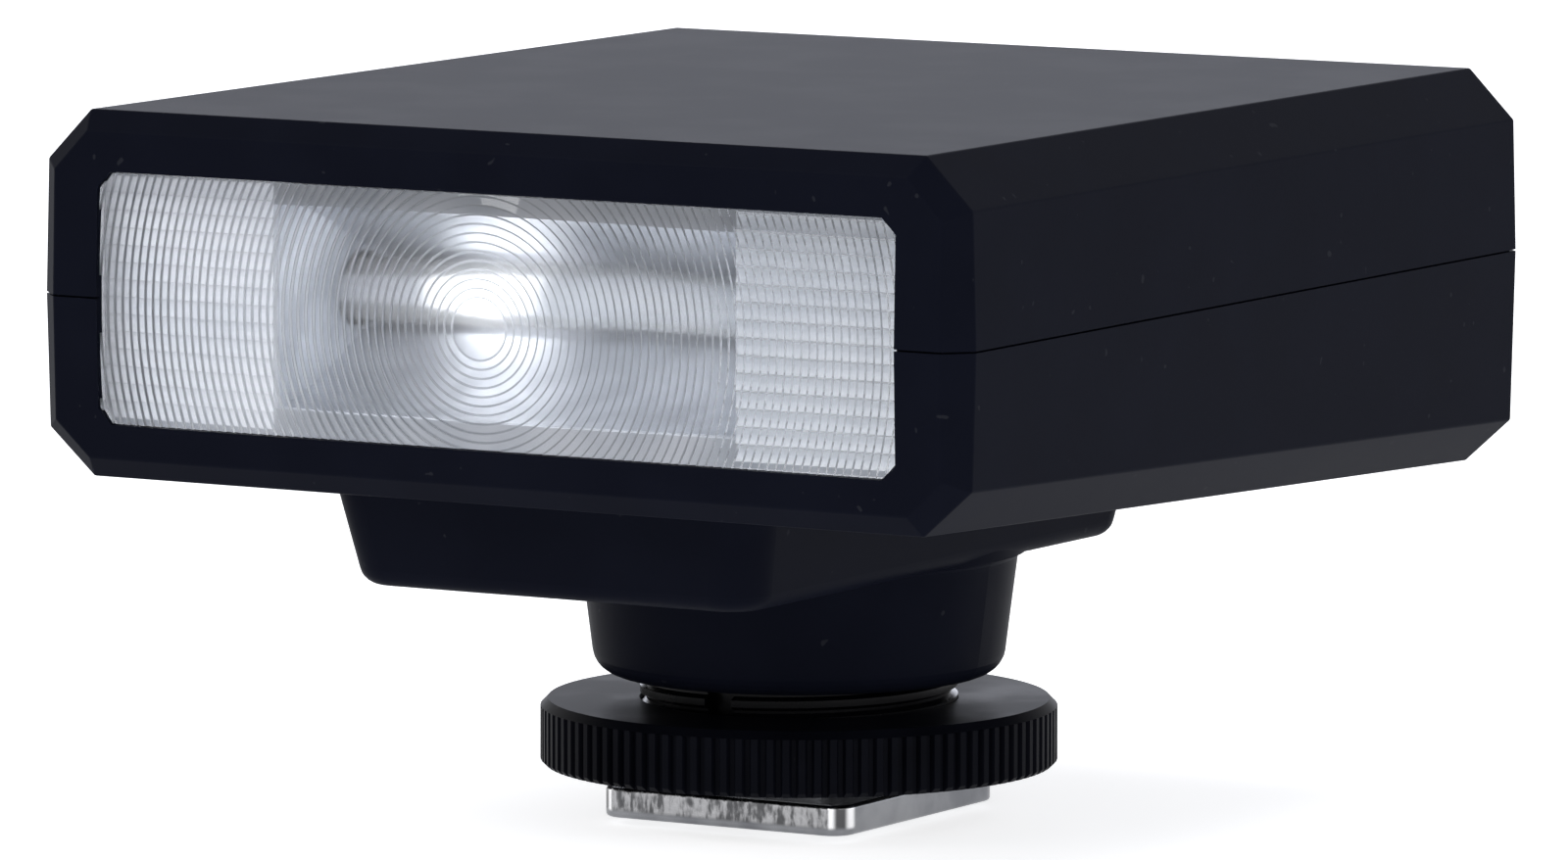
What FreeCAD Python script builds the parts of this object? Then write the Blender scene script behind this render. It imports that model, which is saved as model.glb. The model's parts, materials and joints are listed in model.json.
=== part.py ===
import FreeCAD, Part
import math
import os

# A small camera flash with a fixed head. Millimetres. The origin is the centre of the
# shoe foot's underside; +Z is up, the lens faces -Y and +X is the right side seen from the front.

# Case: two shells that meet at the parting plane and lean in from it
case_half_width = 34.4
case_front = -38.6
case_back = 36.2
case_top = 47.6
parting_z = 35.6
bottom_front_z = 23.9
bottom_back_z = 21.25
draft_angle = 1.6
front_bevel_inset = 1.6
front_bevel_depth = 1.6
back_bevel = 0.7
top_chamfer = 3.3
bottom_chamfer_width = 3.4
bottom_chamfer_height = 3.0
edge_round = 0.3
wall = 1.7
seam_gap = 0.13
seam_depth = 0.4
lip_height = 1.0
lip_gap = 0.06

# Plinth and collar under the lower shell
plinth_half_width = 14.9
plinth_front = -31.8
plinth_back = 17.3
plinth_z = 17.3
plinth_lean = 11.0
plinth_corner = 3.0
plinth_round = 1.4
plinth_wall = 1.7
collar_bottom_z = 9.1
collar_low_radius = 13.4
collar_top_radius = 14.35
collar_round = 1.5
collar_flare = 0.6
collar_wall = 2.0

# Front window, lens and reflector
window_side = 4.9
window_half_height = 8.15
window_corner = 1.0
lens_gap = 0.08
lens_recess = 0.3
lens_flange = 1.1
lens_flange_thick = 0.8
lens_flange_corner = 2.0
ring_pitch = 0.58
ring_depth = 0.26
ring_full_radius = 12.0
ring_first_radius = 2.0
ring_offset = (-0.8, -0.4)
rib_pitch = 1.1
rib_depth = 0.18
rib_count = 14
frame_thick = 1.2
aperture_half_width = 16.7
aperture_half_height = 6.35
frame_sleeve_wall = 1.0
frame_sleeve_gap = 0.3
frame_sleeve_depth = 8.0
reflector_depth = 11.0
reflector_end_lean = 22.0
reflector_wall = 0.3
reflector_bulge = 0.62
reflector_inset = 0.1
tube_radius = 1.6
tube_hole_gap = 0.25
tube_seat_radius = 2.1
tube_half_length = 21.0
sleeve_radius = 2.4
sleeve_length = 4.0
sleeve_end = 0.5
sleeve_slot_gap = 0.2
electrode_radius = 0.9
electrode_length = 2.5
keeper_thick = 1.2
keeper_gap = 0.1
lens_keeper_x = (20.5, 24.5)
lens_keeper_hold = 1.2
panel_keeper_x = (6.0, 20.0)
panel_keeper_hold = 0.8
lens_seat_gap = 0.05
lip_clearance = (0.3, 0.4)

# Shoe foot, neck and lock ring
foot_half_width = 9.3
foot_half_depth = 10.25
foot_thick = 2.0
foot_corner = 1.6
foot_edge = 0.25
stem_half_width = 6.2
stem_half_depth = 8.0
neck_radius = 10.45
neck_bottom_z = 3.95
neck_floor = 2.55
neck_bore = 8.4
thread_pitch = 1.1
thread_depth = 0.42
thread_mouth = 0.40
thread_root = 0.08
thread_start_z = 4.6
thread_end_z = 10.6
keyway_width = 2.0
keyway_depth = 1.25
neck_flange_thick = 1.5
neck_boss_height = 3.0
neck_screw_x = 10.2
neck_screw_y = 10.8
ring_radius = 17.0
ring_bottom_z = 3.08
ring_knurl_top_z = 6.9
ring_top_z = 7.4
ring_top_chamfer = 0.5
ring_bottom_chamfer = 0.3
ring_bore_gap = 0.05
knurl_count = 104
knurl_depth = 0.36
knurl_land = 0.42
knurl_groove = 0.30
washer_radius = 13.3
washer_thick = 0.85
washer_proud = 0.08
washer_gap = 0.05
washer_side_gap = 0.2
tab_height = 3.4
tab_side_gap = 0.06

# Centre contact in the foot
block_radius = 3.3
block_gap = 0.05
block_bottom_z = 0.15
block_flange_radius = 5.0
block_flange_thick = 1.2
pin_radius = 1.25
pin_gap = 0.05
pin_proud = 0.5
pin_shoulder_radius = 1.9
pin_shoulder_thick = 0.9
pin_ledge_z = 2.0
pin_tip = 0.3
spring_clear = 0.02
spring_radius = 1.3
spring_wire = 0.15
spring_turns = 5
terminal_radius = 2.6
terminal_thick = 0.4

# Battery bay, cells and door on the left side
cell_radius = 7.1
cell_length = 49.3
nub_radius = 2.75
nub_length = 1.2
cell_pitch = 14.7
bay_front = -1.7
bay_drop = 8.8
bay_height = 15.0
cell_end_room = 5.4
box_wall = 0.6
box_floor = 0.8
box_end_wall = 1.3
box_end_gap = 0.3
box_rib_x = (-24.0, 18.0)
box_rib_half = 3.0
box_rib_inset = 3.0
box_rib_thick = 1.4
cell_end_gap = 0.1
cell_edge = 0.5
contact_thick = 0.3
contact_half = 4.5
cell_spring_radius = 3.0
cell_spring_wire = 0.3
cell_spring_turns = 4
cell_spring_gap = 0.05
door_gap = 0.15
door_pad = 0.4
lug_gap = 0.8
lug_reach = 2.2
lug_half_height = 2.0
hinge_inset = 1.2
hinge_over = 0.1
barrel_radius = 0.9
hinge_pin_radius = 0.5
hinge_pin_gap = 0.04
hinge_pin_hold = 3.4
hinge_boss = 3.0
notch_half = 6.0
notch_depth = 0.7
notch_height = 1.6

# Back panel and controls
panel_side = 9.4
panel_half_height = 6.6
panel_corner = 1.0
panel_gap = 0.08
panel_recess = 0.4
panel_flange = 1.2
panel_flange_thick = 1.0
button_radius = 2.6
test_radius = 3.3
button_gap = 0.06
button_flange = 0.6
button_flange_thick = 0.6
button_proud = 0.6
button_travel = 0.4
button_row_z = 33.0
mode_share = -0.26
minus_share = 0.06
plus_share = 0.38
test_share = 0.712
slider_share = -0.744
slider_travel = 3.0
slider_width = 5.0
slider_height = 3.0
slider_proud = 0.7
slider_plate_gap = 0.9
slider_plate_thick = 0.7
slider_gap = 0.1
grip_pitch = 1.3
grip_width = 0.5
grip_depth = 0.35
slide_switch_half_width = 4.0
slide_switch_half_height = 1.8
slide_switch_thick = 0.9
lamp_radius = 1.5
lamp_z = 39.4
light_pitch = 4.0
light_count = 5
light_radius = 0.8
light_z = 39.2
light_bar_thick = 0.7
light_bar_end = 1.5
light_bar_half = 1.1
led_half_width = 0.8
led_half_height = 0.4
led_thick = 0.7
post_inset = 1.2
post_radius = 1.5
control_board_thick = 1.0
control_board_over = 0.4
control_board_half_height = 6.1
switch_half = 2.1
switch_thick = 0.8
plunger_radius = 0.8
plunger_height = 0.5
stop_gap = 0.05
cap_edge = 0.25
lamp_proud = 0.35
lamp_flange = 0.4
light_gap = 0.03
light_proud = 0.05

# Power circuit
board_side = 3.6
board_front = -21.0
board_back = -0.9
board_thick = 1.2
board_drop = 1.5
board_boss_radius = 2.0
board_screw_inset = 3.0
capacitor_radius = 6.5
capacitor_length = 37.0
capacitor_inset = 4.4
capacitor_edge = 0.8
capacitor_y = -10.5
capacitor_z = 34.6
seal_length = 1.6
seal_inset = 0.6
lead_radius = 0.3
lead_spacing = 2.5
lead_reach = 1.4
lead_bend = 0.7
saddle_thick = 1.4
saddle_rise = 5.0
saddle_half = 5.5
saddle_places = (2.0, 12.0)
saddle_gap = 0.03
core_gap = 2.4
core_width = 10.4
core_depth = 12.0
core_height = 9.5
winding_radius = 3.9
winding_height = 6.0
core_leg_radius = 2.0
trigger_radius = 2.4
trigger_length = 8.0
trigger_x = -21.0
trigger_core_radius = 0.8
trigger_core_reach = 0.6
transistor_gap = 0.5
transistor_thick = 3.0
transistor_width = 9.0
transistor_height = 11.0
leg_length = 2.5
leg_thick = 0.6
leg_width = 0.8
leg_pitch = 3.1
small_part = (3.5, 1.2, 1.2)
small_part_count = 4
small_part_pitch = 6.0
small_part_left = -20.0
filter_part = (8.0, 3.0, 3.5)
wide_chip = (8.0, 7.0, 1.1)
narrow_chip = (4.0, 4.0, 0.9)
small_part_back = 2.9
filter_front = 0.5
narrow_chip_place = (6.0, 5.0)
transistor_shift = 1.5

# Fasteners
case_screw_radius = 1.1
case_head_radius = 1.7
case_head_height = 1.3
case_boss_radius = 2.3
front_boss_inset = (7.0, 8.0)
back_boss_inset = (6.0, 5.2)
case_screw_seat = 3.0
case_screw_reach = 6.5
counterbore_gap = 0.2
small_screw_radius = 0.8
small_head_radius = 1.5
small_head_height = 1.0
screw_gap = 0.15
foot_screw_x = 4.3
foot_screw_y = 6.0
foot_head_sink = 0.2
foot_screw_short = 0.3
neck_screw_hold = 3.4
board_screw_hold = 0.4
panel_screw_hold = 0.4
pilot_gap = 0.075
cross_width = 0.4
cross_depth = 0.5

FAR = 200.0
UP = FreeCAD.Vector(0, 0, 1)
RIGHT = FreeCAD.Vector(1, 0, 0)
BACK = FreeCAD.Vector(0, 1, 0)
FRONT = FreeCAD.Vector(0, -1, 0)


def vec(x, y, z):
    return FreeCAD.Vector(x, y, z)


# Plain shapes

def block(x0, x1, y0, y1, z0, z1):
    return Part.makeBox(x1 - x0, y1 - y0, z1 - z0, vec(x0, y0, z0))


def rod(radius, start, direction, length):
    return Part.makeCylinder(radius, length, start, direction)


def tube(outer, inner, start, direction, length):
    return rod(outer, start, direction, length).cut(rod(inner, start, direction, length))


def turned(points):
    """A solid turned about the Z axis from (radius, z) points."""
    corners = [vec(r, 0, z) for r, z in points]
    face = Part.Face(Part.makePolygon(corners + corners[:1]))
    return face.revolve(vec(0, 0, 0), UP, 360)


def prism(corners, travel):
    return Part.Face(Part.makePolygon(corners + corners[:1])).extrude(travel)


def joined(shapes):
    whole = shapes[0]
    if len(shapes) > 1:
        whole = whole.fuse(shapes[1:])
    return whole.removeSplitter()


def less(shape, tools):
    return shape.cut(tools)


def mirrored_pair(points):
    """Each (x, y) point and its mirror image across the middle plane."""
    return [(side * x, y) for x, y in points for side in (-1, 1)]


def four(x, y):
    return [(sx * x, sy * y) for sx in (-1, 1) for sy in (-1, 1)]


def octagon_plate(half_width, half_height, corner, y0, y1, mid_z):
    """An upright plate with cut corners, from y0 back to y1."""
    w, h, c = half_width, half_height, corner
    outline = [(-w, c - h), (c - w, -h), (w - c, -h), (w, c - h),
               (w, h - c), (w - c, h), (c - w, h), (-w, h - c)]
    return prism([vec(x, y0, mid_z + z) for x, z in outline], BACK * (y1 - y0))


def rounded_plate(half_width, half_depth, corner, z0, z1):
    plate = block(-half_width, half_width, -half_depth, half_depth, z0, z1)
    upright = [e for e in plate.Edges if abs(e.tangentAt(e.FirstParameter).z) > 0.9]
    return plate.makeFillet(corner, upright)


def rounded_outline(x0, x1, y0, y1, corner, z):
    """A closed wire at one height: a rectangle with arcs at its corners."""
    edges = []
    diagonal = corner * math.sqrt(0.5)
    centres = [(x1 - corner, y1 - corner, 45), (x0 + corner, y1 - corner, 135),
               (x0 + corner, y0 + corner, 225), (x1 - corner, y0 + corner, 315)]
    arcs = []
    for cx, cy, middle in centres:
        a, b = math.radians(middle - 45), math.radians(middle + 45)
        m = math.radians(middle)
        points = [vec(cx + corner * math.cos(t), cy + corner * math.sin(t), z) for t in (a, m, b)]
        arcs.append(points)
    for i, points in enumerate(arcs):
        following = arcs[(i + 1) % 4]
        edges.append(Part.Arc(*points).toShape())
        edges.append(Part.makeLine(points[2], following[0]))
    return Part.Wire(edges)


def coil(radius, wire, pitch, height, start, direction):
    """A compression spring's wire along a helix."""
    path = Part.makeHelix(pitch, height, radius)
    along = vec(0, 1, pitch / (2 * math.pi * radius))
    section = Part.makeCircle(wire, vec(radius, 0, 0), along)
    section.rotate(vec(radius, 0, 0), along, 90)
    sweep = Part.BRepOffsetAPI.MakePipeShell(path)
    sweep.setFrenetMode(True)
    sweep.add(Part.Wire(section))
    sweep.build()
    sweep.makeSolid()
    shape = sweep.shape()
    shape.Placement = FreeCAD.Placement(start, FreeCAD.Rotation(UP, direction))
    return shape


def bent_wire(radius, bend, start, across, rise):
    """A round wire that runs along X from start, bends and then rises."""
    turn = start + RIGHT * (across - bend)
    centre = turn + UP * bend
    middle = centre + (RIGHT - UP) * (bend * math.sqrt(0.5))
    last = centre + RIGHT * bend
    path = Part.Wire([Part.makeLine(start, turn), Part.Arc(turn, middle, last).toShape(),
                      Part.makeLine(last, last + UP * (rise - bend))])
    return path.makePipeShell([Part.Wire(Part.makeCircle(radius, start, RIGHT))], True, False)


def screw(head, head_height, shank, length, seat, direction):
    """A cross-recess screw. seat is the middle of the head's underside, direction points to the tip."""
    shape = joined([rod(head, seat, direction * -1, head_height), rod(shank, seat, direction, length)])
    long_side, short_side = head * 1.2, cross_width
    bars = []
    for a, b in ((long_side, short_side), (short_side, long_side)):
        bar = block(-a / 2, a / 2, -b / 2, b / 2, 0, cross_depth + 1)
        bar.Placement = FreeCAD.Placement(seat - direction * (head_height - cross_depth),
                                          FreeCAD.Rotation(UP, direction * -1))
        bars.append(bar)
    return less(shape, bars)


# The case's outside, as the space inside its flat faces

def lean_over(height):
    """How far a side leans in over this height above or below the parting plane."""
    return math.tan(math.radians(draft_angle)) * abs(height)


def side_x(z):
    return case_half_width - lean_over(z - parting_z)


def bottom_z(y):
    run = case_back - (case_front + front_bevel_depth)
    return bottom_front_z + (bottom_back_z - bottom_front_z) * (y - case_front - front_bevel_depth) / run


def case_faces(upper):
    """The flat faces of one half, each as a point on it and its outward normal."""
    lean = math.radians(draft_angle)
    up = math.sin(lean) if upper else -math.sin(lean)
    out = math.cos(lean)
    y0 = case_front + front_bevel_depth
    outline = [(vec(s * case_half_width, y0, parting_z), vec(s * out, 0, up)) for s in (-1, 1)]
    if upper:
        z = case_top - top_chamfer
        outline.append((vec(0, y0, case_top), UP))
        for s in (-1, 1):
            outline.append((vec(s * side_x(z), y0, z), vec(s, 0, 1)))
    else:
        z = bottom_front_z + bottom_chamfer_height
        slope = (bottom_back_z - bottom_front_z) / (case_back - y0)
        outline.append((vec(0, y0, bottom_front_z), vec(0, slope, -1)))
        for s in (-1, 1):
            normal = vec(s * bottom_chamfer_height, bottom_chamfer_width * slope, -bottom_chamfer_width)
            outline.append((vec(s * side_x(z), y0, z), normal))
    outline = [(p, n.normalize()) for p, n in outline]
    faces = [(vec(0, case_front, parting_z), vec(0, -out, up)),
             (vec(0, case_back, parting_z), vec(0, out, up))]
    for point, normal in outline:
        faces.append((point, normal))
        bevel = normal * front_bevel_depth + FRONT * front_bevel_inset
        faces.append((point, bevel.normalize()))
        rear = vec(point.x, case_back - back_bevel, point.z)
        if abs(normal.y) > 0:
            rear.z = point.z + (bottom_back_z - bottom_front_z) * (rear.y - y0) / (case_back - y0)
        faces.append((rear, (normal + BACK).normalize()))
    return faces


def case_space(upper, inset=0.0, z0=-FAR, z1=FAR):
    """The space inside one half's faces, moved in by inset, between two heights."""
    shape = block(-FAR, FAR, -FAR, FAR, z0, z1)
    for point, normal in case_faces(upper):
        cutter = block(-2 * FAR, 2 * FAR, -2 * FAR, 2 * FAR, 0, 2 * FAR)
        cutter.Placement = FreeCAD.Placement(point - normal * inset, FreeCAD.Rotation(UP, normal))
        shape = shape.cut(cutter)
    return shape


def outside(upper):
    """One half of the case as a full solid, with its outer edges slightly rounded."""
    if upper:
        solid = case_space(True, 0.0, parting_z, FAR)
    else:
        solid = case_space(False, 0.0, 0.0, parting_z)
    rim = parting_z
    edges = [e for e in solid.Edges if not all(abs(v.Z - rim) < 1e-4 for v in e.Vertexes)]
    return solid.makeFillet(edge_round, edges)


def band(upper, outer_inset, inner_inset, z0, z1):
    """A ring that follows the case's outline, between two insets and two heights."""
    return case_space(upper, outer_inset, z0, z1).cut(case_space(upper, inner_inset, z0, z1))


# Places that several pieces share

window_half_width = case_half_width - window_side
panel_half_width = case_half_width - panel_side
mode_x = mode_share * panel_half_width
minus_x = minus_share * panel_half_width
plus_x = plus_share * panel_half_width
test_x = test_share * panel_half_width
slider_x = slider_share * panel_half_width
post_x = panel_half_width - post_inset
control_board_half_width = panel_half_width + control_board_over
board_half_width = case_half_width - board_side
lens_face = case_front + lens_recess
front_inner = case_front + wall
lens_seat = front_inner + lean_over(window_half_height + lens_flange) + lens_seat_gap
lens_back = lens_seat + lens_flange_thick
frame_back = lens_back + frame_thick
tube_y = lens_back + reflector_depth - tube_seat_radius
window_z = parting_z
panel_face = case_back - panel_recess
panel_seat = case_back - wall - lean_over(panel_half_height + panel_flange)
panel_back = panel_seat - panel_flange_thick
button_back = panel_back - stop_gap - button_flange_thick
plunger_tip = button_back - button_travel - stop_gap
control_face = plunger_tip - plunger_height - switch_thick
bay_floor_z = parting_z - bay_drop
bay_back = bay_front + 2 * cell_pitch
bay_top_z = bay_floor_z + bay_height
bay_mid_z = bay_floor_z + bay_height / 2
cell_y = (bay_front + cell_pitch / 2, bay_front + 1.5 * cell_pitch)
bay_left = -case_half_width + wall + door_pad + contact_thick
bay_right = bay_left + cell_length + nub_length + cell_end_room
hinge_x = -case_half_width + hinge_inset
hinge_z = bay_floor_z + hinge_inset + hinge_over
board_z1 = case_top - wall - board_drop
board_z0 = board_z1 - board_thick
collar_seat_z = plinth_z + plinth_wall
neck_flange_z = collar_seat_z + neck_boss_height
neck_floor_z = neck_bottom_z + neck_floor
keyway_bottom = neck_radius - keyway_depth
washer_bottom_z = ring_bottom_z - washer_proud
washer_top_z = washer_bottom_z + washer_thick
recess_top_z = washer_top_z + washer_gap
board_posts = four(board_half_width - board_screw_inset, (board_back - board_front) / 2 - board_screw_inset)
board_mid_y = (board_front + board_back) / 2
capacitor_left = -case_half_width + capacitor_inset
core_x = capacitor_left + capacitor_length + seal_length + core_gap + core_width / 2
transistor_x = core_x + core_width / 2 + transistor_gap
case_boss_front = (case_half_width - front_boss_inset[0], case_front + front_boss_inset[1])
case_boss_back = (case_half_width - back_boss_inset[0], case_back - back_boss_inset[1])


# Shells

def plinth_solid(inset, z0):
    """The plinth under the case, or with an inset the hollow inside it, from z0 up into the case."""
    z1 = bottom_front_z + wall + 1.0
    grow = math.tan(math.radians(plinth_lean)) * (z1 - z0)
    spread = math.tan(math.radians(plinth_lean)) * (z0 - plinth_z)
    wires = []
    for z, more in ((z0, spread), (z1, spread + grow)):
        half = plinth_half_width + more - inset
        wires.append(rounded_outline(-half, half, plinth_front - more + inset, plinth_back + more - inset,
                                     plinth_corner - inset / 2, z))
    return Part.makeLoft(wires, True, True)


def collar_solid():
    slope = (collar_top_radius - collar_low_radius) / (plinth_z - collar_bottom_z)
    bottom = []
    for step in range(7):
        turn = math.radians(15 * step)
        r = collar_low_radius - collar_round + collar_round * math.sin(turn)
        z = collar_bottom_z + collar_round - collar_round * math.cos(turn)
        bottom.append((r + slope * (z - collar_bottom_z), z))
    flare = []
    for step in range(5):
        turn = math.radians(22.5 * step)
        r = collar_top_radius + collar_flare - collar_flare * math.cos(turn)
        z = plinth_z - collar_flare + collar_flare * math.sin(turn)
        flare.append((r, z))
    top = plinth_z + plinth_wall / 2
    return turned([(0, collar_bottom_z)] + bottom + flare + [(flare[-1][0], top), (0, top)])


def case_boss_places():
    return mirrored_pair([case_boss_front, case_boss_back])


def window_hole():
    return octagon_plate(window_half_width, window_half_height, window_corner,
                         case_front - 1, front_inner + 1, window_z)


def panel_hole():
    return octagon_plate(panel_half_width, panel_half_height, panel_corner,
                         panel_seat - 1, case_back + 1, window_z)


def door_hole(clear=0.0):
    """The door's opening through the left wall, or with clear the smaller door's block."""
    return block(-case_half_width - 1, -case_half_width + wall + 1.2, bay_front + clear, bay_back - clear,
                 bay_floor_z + clear, bay_top_z - clear)


def keepers(upper):
    """Ribs behind the lens frame and behind the back panel's flange."""
    ribs = []
    top = case_top if upper else window_z - window_half_height - lens_flange + lens_keeper_hold
    low = window_z + window_half_height + lens_flange - lens_keeper_hold if upper else bottom_front_z
    y0 = frame_back + keeper_gap
    panel_top = window_z + panel_half_height + panel_flange
    for side in (-1, 1):
        x0, x1 = sorted(side * x for x in lens_keeper_x)
        ribs.append(block(x0, x1, y0, y0 + keeper_thick, low, top))
        x0, x1 = sorted(side * x for x in panel_keeper_x)
        y1 = panel_back - keeper_gap
        if upper:
            ribs.append(block(x0, x1, y1 - keeper_thick, y1, panel_top - panel_keeper_hold, case_top))
        else:
            ribs.append(block(x0, x1, y1 - keeper_thick, y1, bottom_back_z,
                              2 * window_z - panel_top + panel_keeper_hold))
    return ribs


def upper_shell():
    skin = outside(True)
    inner = case_space(True, wall, parting_z - 1, FAR)
    shell = skin.cut(inner)
    posts = []
    for x, y in case_boss_places():
        posts.append(rod(case_boss_radius, vec(x, y, parting_z), UP, case_top - parting_z))
    for x, y in board_posts:
        posts.append(rod(board_boss_radius, vec(x, y + board_mid_y, board_z1), UP, case_top - board_z1))
    posts += keepers(True)
    shell = joined([shell] + [p.common(skin) for p in posts])
    holes = [window_hole(), panel_hole(), door_hole()]
    holes.append(band(True, -1, seam_depth, parting_z - 1, parting_z + seam_gap / 2))
    holes.append(band(True, wall / 2, wall + 0.2, parting_z - 1, parting_z + lip_height + 0.1))
    for x, y in case_boss_places():
        holes.append(rod(case_screw_radius - screw_gap, vec(x, y, parting_z - 1), UP,
                         case_top - wall - parting_z))
    for x, y in board_posts:
        holes.append(rod(small_screw_radius - pilot_gap, vec(x, y + board_mid_y, board_z1 - 1), UP,
                         board_drop + 1 + board_screw_hold))
    return less(shell, holes)


def lower_shell():
    skin = outside(False)
    plinth = plinth_solid(0.0, plinth_z)
    low_edges = [e for e in plinth.Edges if all(abs(v.Z - plinth_z) < 1e-4 for v in e.Vertexes)]
    plinth = plinth.makeFillet(plinth_round, low_edges)
    plinth = plinth.cut(case_space(False, wall / 2, 0, FAR))
    hollow = case_space(False, wall, 0, parting_z + 1)
    outer = joined([skin, plinth, collar_solid()])
    plinth_hollow = plinth_solid(plinth_wall, collar_seat_z)
    collar_hollow = rod(collar_low_radius - collar_wall, vec(0, 0, collar_bottom_z + collar_wall), UP,
                        collar_seat_z - collar_bottom_z)
    neck_hole = rod(neck_radius + ring_bore_gap, vec(0, 0, 0), UP, collar_seat_z)
    shell = less(outer, [hollow, plinth_hollow, collar_hollow, neck_hole])
    posts = []
    for x, y in case_boss_places():
        posts.append(rod(case_boss_radius, vec(x, y, 0), UP, parting_z).common(skin))
    for x, y in four(neck_screw_x, neck_screw_y):
        posts.append(rod(board_boss_radius, vec(x, y, plinth_z + plinth_wall / 2), UP,
                         neck_flange_z - plinth_z - plinth_wall / 2))
    posts += [k.common(skin) for k in keepers(False)]
    saddle_top = capacitor_z - capacitor_radius + saddle_rise
    for x in [capacitor_left + place for place in saddle_places]:
        saddle = block(x, x + saddle_thick, capacitor_y - saddle_half, capacitor_y + saddle_half,
                       bottom_z(capacitor_y), saddle_top)
        seat = rod(capacitor_radius + saddle_gap, vec(x, capacitor_y, capacitor_z), RIGHT, saddle_thick)
        posts.append(saddle.cut(seat))
    for y in (bay_front + box_rib_inset, bay_back - box_rib_inset - box_rib_thick):
        for x in box_rib_x:
            rib = block(x - box_rib_half, x + box_rib_half, y, y + box_rib_thick, bottom_back_z,
                        bay_floor_z - box_floor)
            posts.append(rib.common(skin))
    for y0 in (bay_front - hinge_boss - lug_gap, bay_back + lug_gap):
        lug = block(-case_half_width, hinge_x + lug_reach, y0, y0 + hinge_boss, hinge_z - lug_half_height,
                    hinge_z + lug_half_height)
        posts.append(lug.common(skin))
    lip = band(True, wall / 2 + lip_gap, wall, parting_z, parting_z + lip_height)
    lens_reach = window_half_width + lens_flange + lip_clearance[0]
    back_reach = case_boss_back[0] + case_boss_radius + lip_clearance[1]
    lip = less(lip, [block(-lens_reach, lens_reach, -FAR, 0, 0, FAR),
                     block(-back_reach, back_reach, 0, FAR, 0, FAR)])
    shell = joined([shell] + posts + [lip])
    holes = [window_hole(), panel_hole(), door_hole()]
    holes.append(band(False, -1, seam_depth, parting_z - seam_gap / 2, parting_z + 0.01))
    for x, y in case_boss_places():
        seat = bottom_z(y) + case_screw_seat
        holes.append(rod(case_screw_radius + screw_gap, vec(x, y, 0), UP, parting_z + lip_height + 1))
        holes.append(rod(case_head_radius + counterbore_gap, vec(x, y, 0), UP, seat))
    for x, y in four(neck_screw_x, neck_screw_y):
        holes.append(rod(small_screw_radius - pilot_gap, vec(x, y, plinth_z + 1), UP,
                         neck_flange_z - plinth_z))
    holes.append(rod(hinge_pin_radius, vec(hinge_x, bay_front - hinge_pin_hold, hinge_z), BACK,
                     bay_back - bay_front + 2 * hinge_pin_hold))
    holes.append(rod(barrel_radius + door_gap, vec(hinge_x, bay_front, hinge_z), BACK, bay_back - bay_front))
    return less(shell, holes)


# Lens, reflector and tube

def fresnel_lens():
    gap = lens_gap
    face = octagon_plate(window_half_width - gap, window_half_height - gap, window_corner,
                         lens_face, lens_seat + 0.1, window_z)
    flange = octagon_plate(window_half_width + lens_flange, window_half_height + lens_flange,
                           lens_flange_corner, lens_seat, lens_back, window_z)
    plate = joined([face, flange])
    reach = math.hypot(window_half_width + abs(ring_offset[0]), window_half_height + abs(ring_offset[1]))
    teeth = sawtooth(ring_first_radius, reach)
    section = [(teeth[0][0], lens_face - 1)] + teeth + [(teeth[-1][0], lens_face - 1)]
    corners = [vec(r, y, 0) for r, y in section]
    cutter = Part.Face(Part.makePolygon(corners + corners[:1])).revolve(vec(0, 0, 0), BACK, 360)
    cutter.translate(vec(ring_offset[0], 0, window_z + ring_offset[1]))
    plate = less(plate, [cutter])
    return less(plate, [rib_recess(-window_half_width), rib_recess(aperture_half_width)])


def rib_recess(left):
    """A shallow pocket in the lens's back, beside the reflector, less the ribs that stand in it."""
    width = window_half_width - aperture_half_width
    half_height = rib_count * rib_pitch / 2
    rib_radius = (rib_pitch ** 2 / 4 + rib_depth ** 2) / (2 * rib_depth)
    pocket = block(left, left + width, lens_back - rib_depth, lens_back + 1,
                   window_z - half_height, window_z + half_height)
    ribs = []
    for i in range(rib_count):
        z = window_z + (i - (rib_count - 1) / 2) * rib_pitch
        ribs.append(rod(rib_radius, vec(left, lens_back - rib_radius, z), RIGHT, width))
    return pocket.cut(ribs)


def sawtooth(start, reach):
    """Points of the lens's concentric grooves in section. They deepen from the middle outwards."""
    points = []
    r = start
    while r < reach + ring_pitch:
        points.append((r, lens_face))
        points.append((r + ring_pitch, lens_face + ring_depth * min(1.0, r / ring_full_radius)))
        r += ring_pitch
    return points


def trough(grow, front):
    """The reflector's inside, or with grow its outside, as a curved trough with leaning ends."""
    back = tube_y + tube_seat_radius + grow
    r = tube_seat_radius + grow
    h = aperture_half_height - reflector_inset + grow
    mid_y = (tube_y + front) / 2
    bulge = r + (h - r) * reflector_bulge
    top = [vec(0, front, window_z + h), vec(0, mid_y, window_z + bulge), vec(0, tube_y, window_z + r)]
    low = [vec(0, p.y, 2 * window_z - p.z) for p in top]
    edges = [Part.Arc(*top).toShape(),
             Part.Arc(top[2], vec(0, back, window_z), low[2]).toShape(),
             Part.Arc(low[2], low[1], low[0]).toShape(),
             Part.makeLine(low[0], top[0])]
    section = Part.Face(Part.Wire(edges)).extrude(RIGHT * 2 * FAR)
    section.translate(vec(-FAR, 0, 0))
    wide = aperture_half_width - reflector_inset + grow
    narrow = wide - math.tan(math.radians(reflector_end_lean)) * (back - front)
    plan = [vec(-wide, front, 0), vec(wide, front, 0), vec(narrow, back, 0), vec(-narrow, back, 0)]
    return section.common(prism(plan, UP * FAR))


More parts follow.
